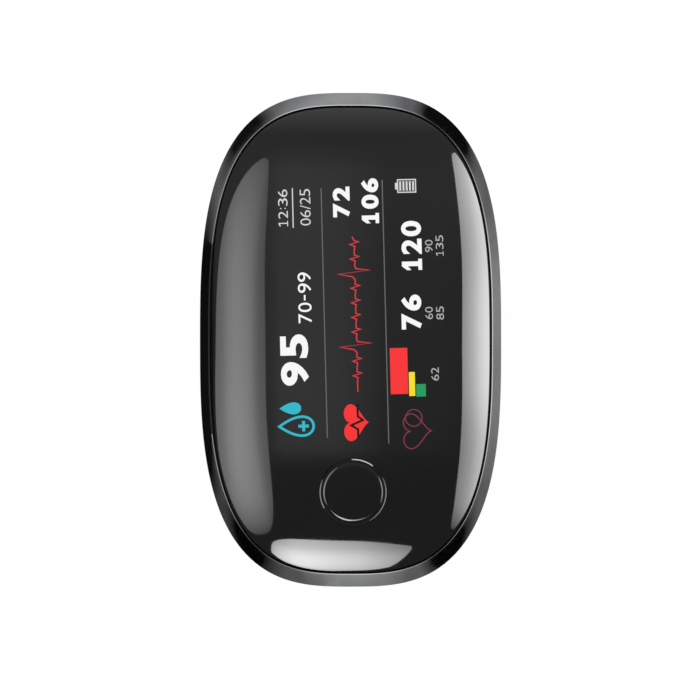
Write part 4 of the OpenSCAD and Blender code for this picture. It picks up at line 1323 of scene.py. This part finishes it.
def spread_out(path, pitch):
    """Adds points so that no step of the path is longer than pitch."""
    points = []
    for first, second in zip(path, path[1:]):
        count = max(1, math.ceil((second - first).length / pitch))
        points += [first.lerp(second, k / count) for k in range(count)]
    return points + [path[-1]]


def strip(name, path, x, thickness):
    """A flat strip across X that follows a path of (y, z) points in mm."""
    last = len(path) - 1
    piece = new_piece(bpy.ops.mesh.primitive_grid_add, name, x_subdivisions=1, y_subdivisions=last, size=2)
    reshape(piece, lambda at: (x[at.x > 0], *path[round((at.y + 1) / 2 * last)]))
    apply_change(piece, "SOLIDIFY", thickness=thickness * MM, offset=0, use_even_offset=True)
    close_up(piece)
    return piece


def wave(tree, direction, scale):
    """Parallel bands across X or Y."""
    return add_node(tree, "TexWave", {"Vector": object_place(tree), "Scale": scale},
                    bands_direction=direction).outputs["Fac"]


flex_finish = finish("polyimide", (176, 98, 28), 0.24, gloss=(300, 4, 0.18, 0.32))
tree = flex_finish.node_tree
copper_lines = span(tree, wave(tree, "X", 480), 0.45, 0.55)
feed(flex_finish, "Base Color", two_colours(tree, copper_lines, rgb(160, 84, 20), rgb(206, 132, 62)))
emboss(flex_finish, copper_lines, 0.01, 0.6)

flex_t = 0.15
flex_lo, flex_hi = box_mm("flex_cable")
run_z, rise_y = flex_lo.z + flex_t / 2, flex_lo.y + flex_t / 2
flex_path = spread_out(bent([(flex_hi.y, run_z), (rise_y, run_z), (rise_y, flex_hi.z)], 0.7), 0.6)
hinge_ribbon = strip("hinge_ribbon", flex_path, (flex_lo.x, flex_hi.x), flex_t)
dress(hinge_ribbon, "flex_cable", "flex_film", flex_finish, angle=40,
      blend=((0, rise_y, 15.3), (0, rise_y, 21.8)))

fold_lo, fold_hi = box_mm("display_cable")
fold_low, fold_high = fold_lo.z + flex_t / 2, fold_hi.z - flex_t / 2
fold_path = bent([(fold_hi.y, fold_high), (fold_hi.y - 0.85, fold_high), (fold_lo.y + 0.55, fold_low),
                  (fold_lo.y, fold_low)], 0.3)
display_ribbon = strip("display_ribbon", fold_path, (fold_lo.x, fold_hi.x), flex_t)
dress(display_ribbon, "display_cable", "flex_film", flex_finish, angle=40, even=True)


# ---- Sensor and light source ----
# Two small boards face each other across the finger: a photodiode below, and a red and an infrared
# light-emitting diode above. Each sits behind a clear dark-red window in its pad.
def etched_lines(tree, direction, start, end):
    """Parallel lines along X or Y, 1 on a line, in the angular patches whose random shade lies in a range."""
    pitch = 0.4 * MM
    on_line = maths(tree, "GREATER_THAN", wave(tree, direction, math.pi / 10 / pitch), 0.72)
    patches = add_node(tree, "TexVoronoi", {"Vector": object_place(tree), "Scale": 260}, distance="CHEBYCHEV")
    shade = add_node(tree, "SeparateColor", {0: patches.outputs["Color"]}).outputs[0]
    in_patch = maths(tree, "COMPARE", shade, (start + end) / 2, (end - start) / 2)
    return maths(tree, "MULTIPLY", on_line, in_patch)


# Board lacquer over groups of etched copper lines, which show through paler
board_mask = finish("board_mask", (12, 92, 58), 0.3, gloss=(260, 4, 0.24, 0.4))
tree = board_mask.node_tree
board_lines = maths(tree, "MAXIMUM", etched_lines(tree, "X", 0.0, 0.3), etched_lines(tree, "Y", 0.45, 0.75))
feed(board_mask, "Base Color", two_colours(tree, board_lines, rgb(12, 92, 58), rgb(30, 122, 80)))
emboss(board_mask, board_lines, 0.015, 0.4)
window_finish = finish("red_window", (110, 10, 14), 0.06, tint=(160, 3, (100, 8, 12), (122, 14, 18)),
                       gloss=(300, 4, 0.04, 0.1))
feed(window_finish, "Transmission Weight", 0.75)
softened("sensor_board", "sensor_circuit_board", 0.04, "circuit_board", board_mask)
softened("emitter_board", "emitter_circuit_board", 0.04, "circuit_board", board_mask)
softened("sensor_window", "sensor_window_pane", 0.1, "window_red", window_finish, segments=3)
softened("emitter_window", "emitter_window_pane", 0.1, "window_red", window_finish, segments=3)


def package(name, lo, hi, body_finish, well_finish, up=-1, rim=0.35, depth=0.02, edge=0.08):
    """A moulded package with a sunk well in its top or bottom face; up is 1 or -1."""
    piece = block(name, *zip(lo, hi))
    close_up(piece)
    piece.data.materials.append(body_finish)
    piece.data.materials.append(well_finish)
    bpy.ops.object.mode_set(mode="EDIT")
    bpy.ops.mesh.select_all(action="DESELECT")
    bpy.ops.object.mode_set(mode="OBJECT")
    for side in piece.data.polygons:
        side.select = side.normal.z * up > 0.5
    bpy.ops.object.mode_set(mode="EDIT")
    bpy.ops.mesh.inset(thickness=rim * MM)
    bpy.ops.mesh.extrude_region_move(TRANSFORM_OT_translate={"value": (0, 0, -up * depth * MM)})
    piece.active_material_index = 1
    bpy.ops.object.material_slot_assign()
    bpy.ops.object.mode_set(mode="OBJECT")
    break_edges(piece, edge)
    return piece


epoxy = finish("package_epoxy", (26, 26, 28), 0.42, tint=(2200, 4, (20, 20, 22), (34, 34, 37)),
               gloss=(1200, 4, 0.34, 0.55), relief=(6000, 3, 0.006, 0.5))
diode_die = finish("diode_die", (22, 26, 60), 0.12, tint=(900, 3, (16, 20, 48), (30, 34, 76)))
diode = package("photodiode_package", *box_mm("photodiode"), epoxy, diode_die, up=1, rim=0.45, depth=0.12)
dress(diode, "photodiode", "chip_black")

ceramic = finish("white_ceramic", (226, 222, 210), 0.4, tint=(1800, 4, (216, 212, 198), (234, 231, 221)))
resin = finish("clear_resin", (214, 176, 92), 0.1, tint=(1400, 2, (202, 160, 76), (226, 192, 116)))
led_lo, led_hi = box_mm("emitter_leds")
led_w = led_hi.x - led_lo.x
leds = [package("light_diode", (led_lo.x, y, led_lo.z), (led_hi.x, y + led_w, led_hi.z), ceramic, resin,
                rim=0.25, depth=0.1, edge=0.05) for y in (led_lo.y, led_hi.y - led_w)]
dress(joined(leds, "light_diodes"), "emitter_leds", "socket_cream")


# ---- Main board ----
# A green glass-epoxy board under the display. Its chips, crystal and capacitors are soldered below it,
# and the button's switch, the buzzer and the display's socket above it.
softened("main_board", "main_circuit_board", 0.04, "circuit_board", board_mask)
solder_tin = plated_steel("solder_tin", (196, 198, 198), 0.2, 0.4)


def leg(x, y, foot_z, shoulder_z, reach, out):
    """A bent lead from a package side at shoulder height down to the board; out is its direction."""
    width, thickness = 0.2, 0.1
    low = foot_z - (foot_z - shoulder_z) * 0.07
    corners = [(0, shoulder_z), (reach * 0.4, shoulder_z), (reach * 0.55, low), (reach, low)]
    piece = strip("lead", bent(corners, reach * 0.13, 3), (-width / 2, width / 2), thickness)
    piece.data.materials.append(solder_tin)
    c, s = out[1], -out[0]
    for corner in piece.data.vertices:
        a, b, z = corner.co
        corner.co = Vector((x * MM + c * a - s * b, y * MM + s * a + c * b, z))
    return piece


def leaded_chip(name, lo, hi, body_inset, pins):
    """A flat chip under the board with the same row of leads on all four sides."""
    inside = Vector((body_inset, body_inset, 0))
    board_gap = Vector((0, 0, 0.08))
    pieces = [package(name, lo + inside, hi - inside - board_gap, epoxy, epoxy, edge=0.06)]
    mid, size = (lo + hi) / 2, hi - lo
    pitch = (size.x - 2 * body_inset) / (pins + 0.6)
    for out in ((1, 0), (-1, 0), (0, 1), (0, -1)):
        for k in range(pins):
            along = (k - (pins - 1) / 2) * pitch
            x = mid.x + out[0] * (size.x / 2 - body_inset - 0.02) + out[1] * along
            y = mid.y + out[1] * (size.y / 2 - body_inset - 0.02) + out[0] * along
            pieces.append(leg(x, y, hi.z, mid.z, body_inset, out))
    return joined(pieces, name)


def edged(name, x, y, z, width, material):
    """A block with broken edges, in its material."""
    piece = block(name, x, y, z)
    break_edges(piece, width)
    piece.data.materials.append(material)
    return piece


dress(leaded_chip("processor_package", *box_mm("processor_chip"), 0.6, 11), "processor_chip", "chip_black")

parts_lo, parts_hi = box_mm("board_parts")
memory_lo = Vector((3.0, parts_hi.y - 3.0, parts_hi.z - 1.0))
crystal_lo = (parts_lo.x, parts_lo.y, parts_hi.z - 0.8)
crystal_hi = (parts_lo.x + 3.2, parts_lo.y + 1.5, parts_hi.z)
small_parts = [leaded_chip("memory_package", memory_lo, parts_hi, 0.4, 5),
               package("crystal_can", crystal_lo, crystal_hi, solder_tin, solder_tin, rim=0.2, depth=-0.06,
                       edge=0.12)]
fired_brown = finish("brown_ceramic", (150, 112, 76), 0.45, tint=(1500, 4, (138, 100, 66), (164, 126, 90)))
capacitor_y, capacitor_pitch = -21.27, 2.0
for k in range(3):
    x = capacitor_pitch * k
    for name, start, end, grow, surface in (("capacitor", 0.3, 1.3, 0.0, fired_brown),
                                            ("cap_end", 0, 0.32, 0.02, solder_tin),
                                            ("cap_end", 1.28, 1.6, 0.02, solder_tin)):
        wide = (x + 0.02 - grow, x + 0.78 + grow)
        high = (parts_hi.z - 0.68 - grow, parts_hi.z - 0.01 + grow / 2)
        small_parts.append(edged(name, wide, (capacitor_y + start, capacitor_y + end), high, 0.05, surface))
dress(joined(small_parts, "soldered_parts"), "board_parts", "chip_black")

softened("buzzer", "buzzer_can", 0.15, "chip_black", epoxy, segments=3)
softened("tact_switch", "switch_body", 0.08, "chip_black", epoxy)
softened("switch_plunger", "switch_stem", 0.12, "screw_steel", solder_tin, segments=3)
nylon = finish("cream_nylon", (206, 200, 184), 0.4, tint=(900, 4, (198, 191, 173), (214, 209, 195)),
               gloss=(500, 4, 0.32, 0.48))


def film_socket(node, name, side):
    """A low socket with a row of tinned contacts and a dark flip latch. Side is 1 where it stands on the
    board and opens at +Y, and -1 where it hangs below the board and opens at -Y."""
    lo, hi = box_mm(node)
    back_y, latch_y = (lo.y, hi.y - 0.6), (hi.y - 0.55, hi.y - 0.02)
    latch_z, foot_z = (lo.z + 0.45, hi.z - 0.05), (lo.z + 0.02, lo.z + 0.14)
    if side < 0:
        back_y, latch_y = (lo.y + 0.6, hi.y), (lo.y + 0.02, lo.y + 0.55)
        latch_z, foot_z = (lo.z + 0.05, hi.z - 0.45), (hi.z - 0.14, hi.z - 0.02)
    shell = block("socket_shell", (lo.x, hi.x), back_y, (lo.z, hi.z))
    end_w = 0.35
    combine(shell, "UNION", *(block("socket_end", x, (lo.y, hi.y), (lo.z, hi.z))
                              for x in ((lo.x, lo.x + end_w), (hi.x - end_w, hi.x))))
    break_edges(shell, 0.04)
    shell.data.materials.append(nylon)
    pieces = [shell, edged("socket_latch", (lo.x + 0.38, hi.x - 0.38), latch_y, latch_z, 0.08, epoxy)]
    contact_y = (latch_y[0] + 0.03, latch_y[1] - 0.03)
    pitch = 0.5
    count = int((hi.x - lo.x - 1.2) / pitch)
    for k in range(count):
        x = (lo.x + hi.x) / 2 + (k - (count - 1) / 2) * pitch
        pieces.append(edged("socket_contact", (x - 0.1, x + 0.1), contact_y, foot_z, 0.02, solder_tin))
    dress(joined(pieces, name), node, "socket_cream")


film_socket("display_socket", "display_film_socket", 1)
film_socket("flex_socket", "hinge_film_socket", -1)


# ---- Display ----
# A colour display with a glass pane on a white light guide. A pressed steel bracket holds it level
# under the face.
guide_finish = finish("light_guide", (228, 229, 230), 0.35, tint=(700, 4, (220, 221, 222), (236, 237, 238)))
glass_finish = finish("display_glass", (14, 15, 18), 0.05, tint=(90, 3, (11, 12, 14), (19, 20, 24)),
                      gloss=(260, 4, 0.03, 0.08))
module_lo, module_hi = box_mm("display_module")
glass_low = module_hi.z - 0.55
guide = edged("display_guide", (module_lo.x, module_hi.x), (module_lo.y, module_hi.y),
              (module_lo.z, glass_low), 0.08, guide_finish)
pane_inset = 0.25
pane = package("display_pane", (module_lo.x + pane_inset, module_lo.y + pane_inset, glass_low),
               (module_hi.x - pane_inset, module_hi.y - pane_inset, module_hi.z), epoxy, glass_finish,
               up=1, rim=0.9, edge=0.04)
dress(joined([guide, pane], "display_panel"), "display_module", "display_glass")
pressed_steel = plated_steel("pressed_steel", (150, 152, 155), 0.3, 0.45, (1, 0.1, 1))
softened("display_bracket", "display_frame", 0.06, "bracket_steel", pressed_steel)
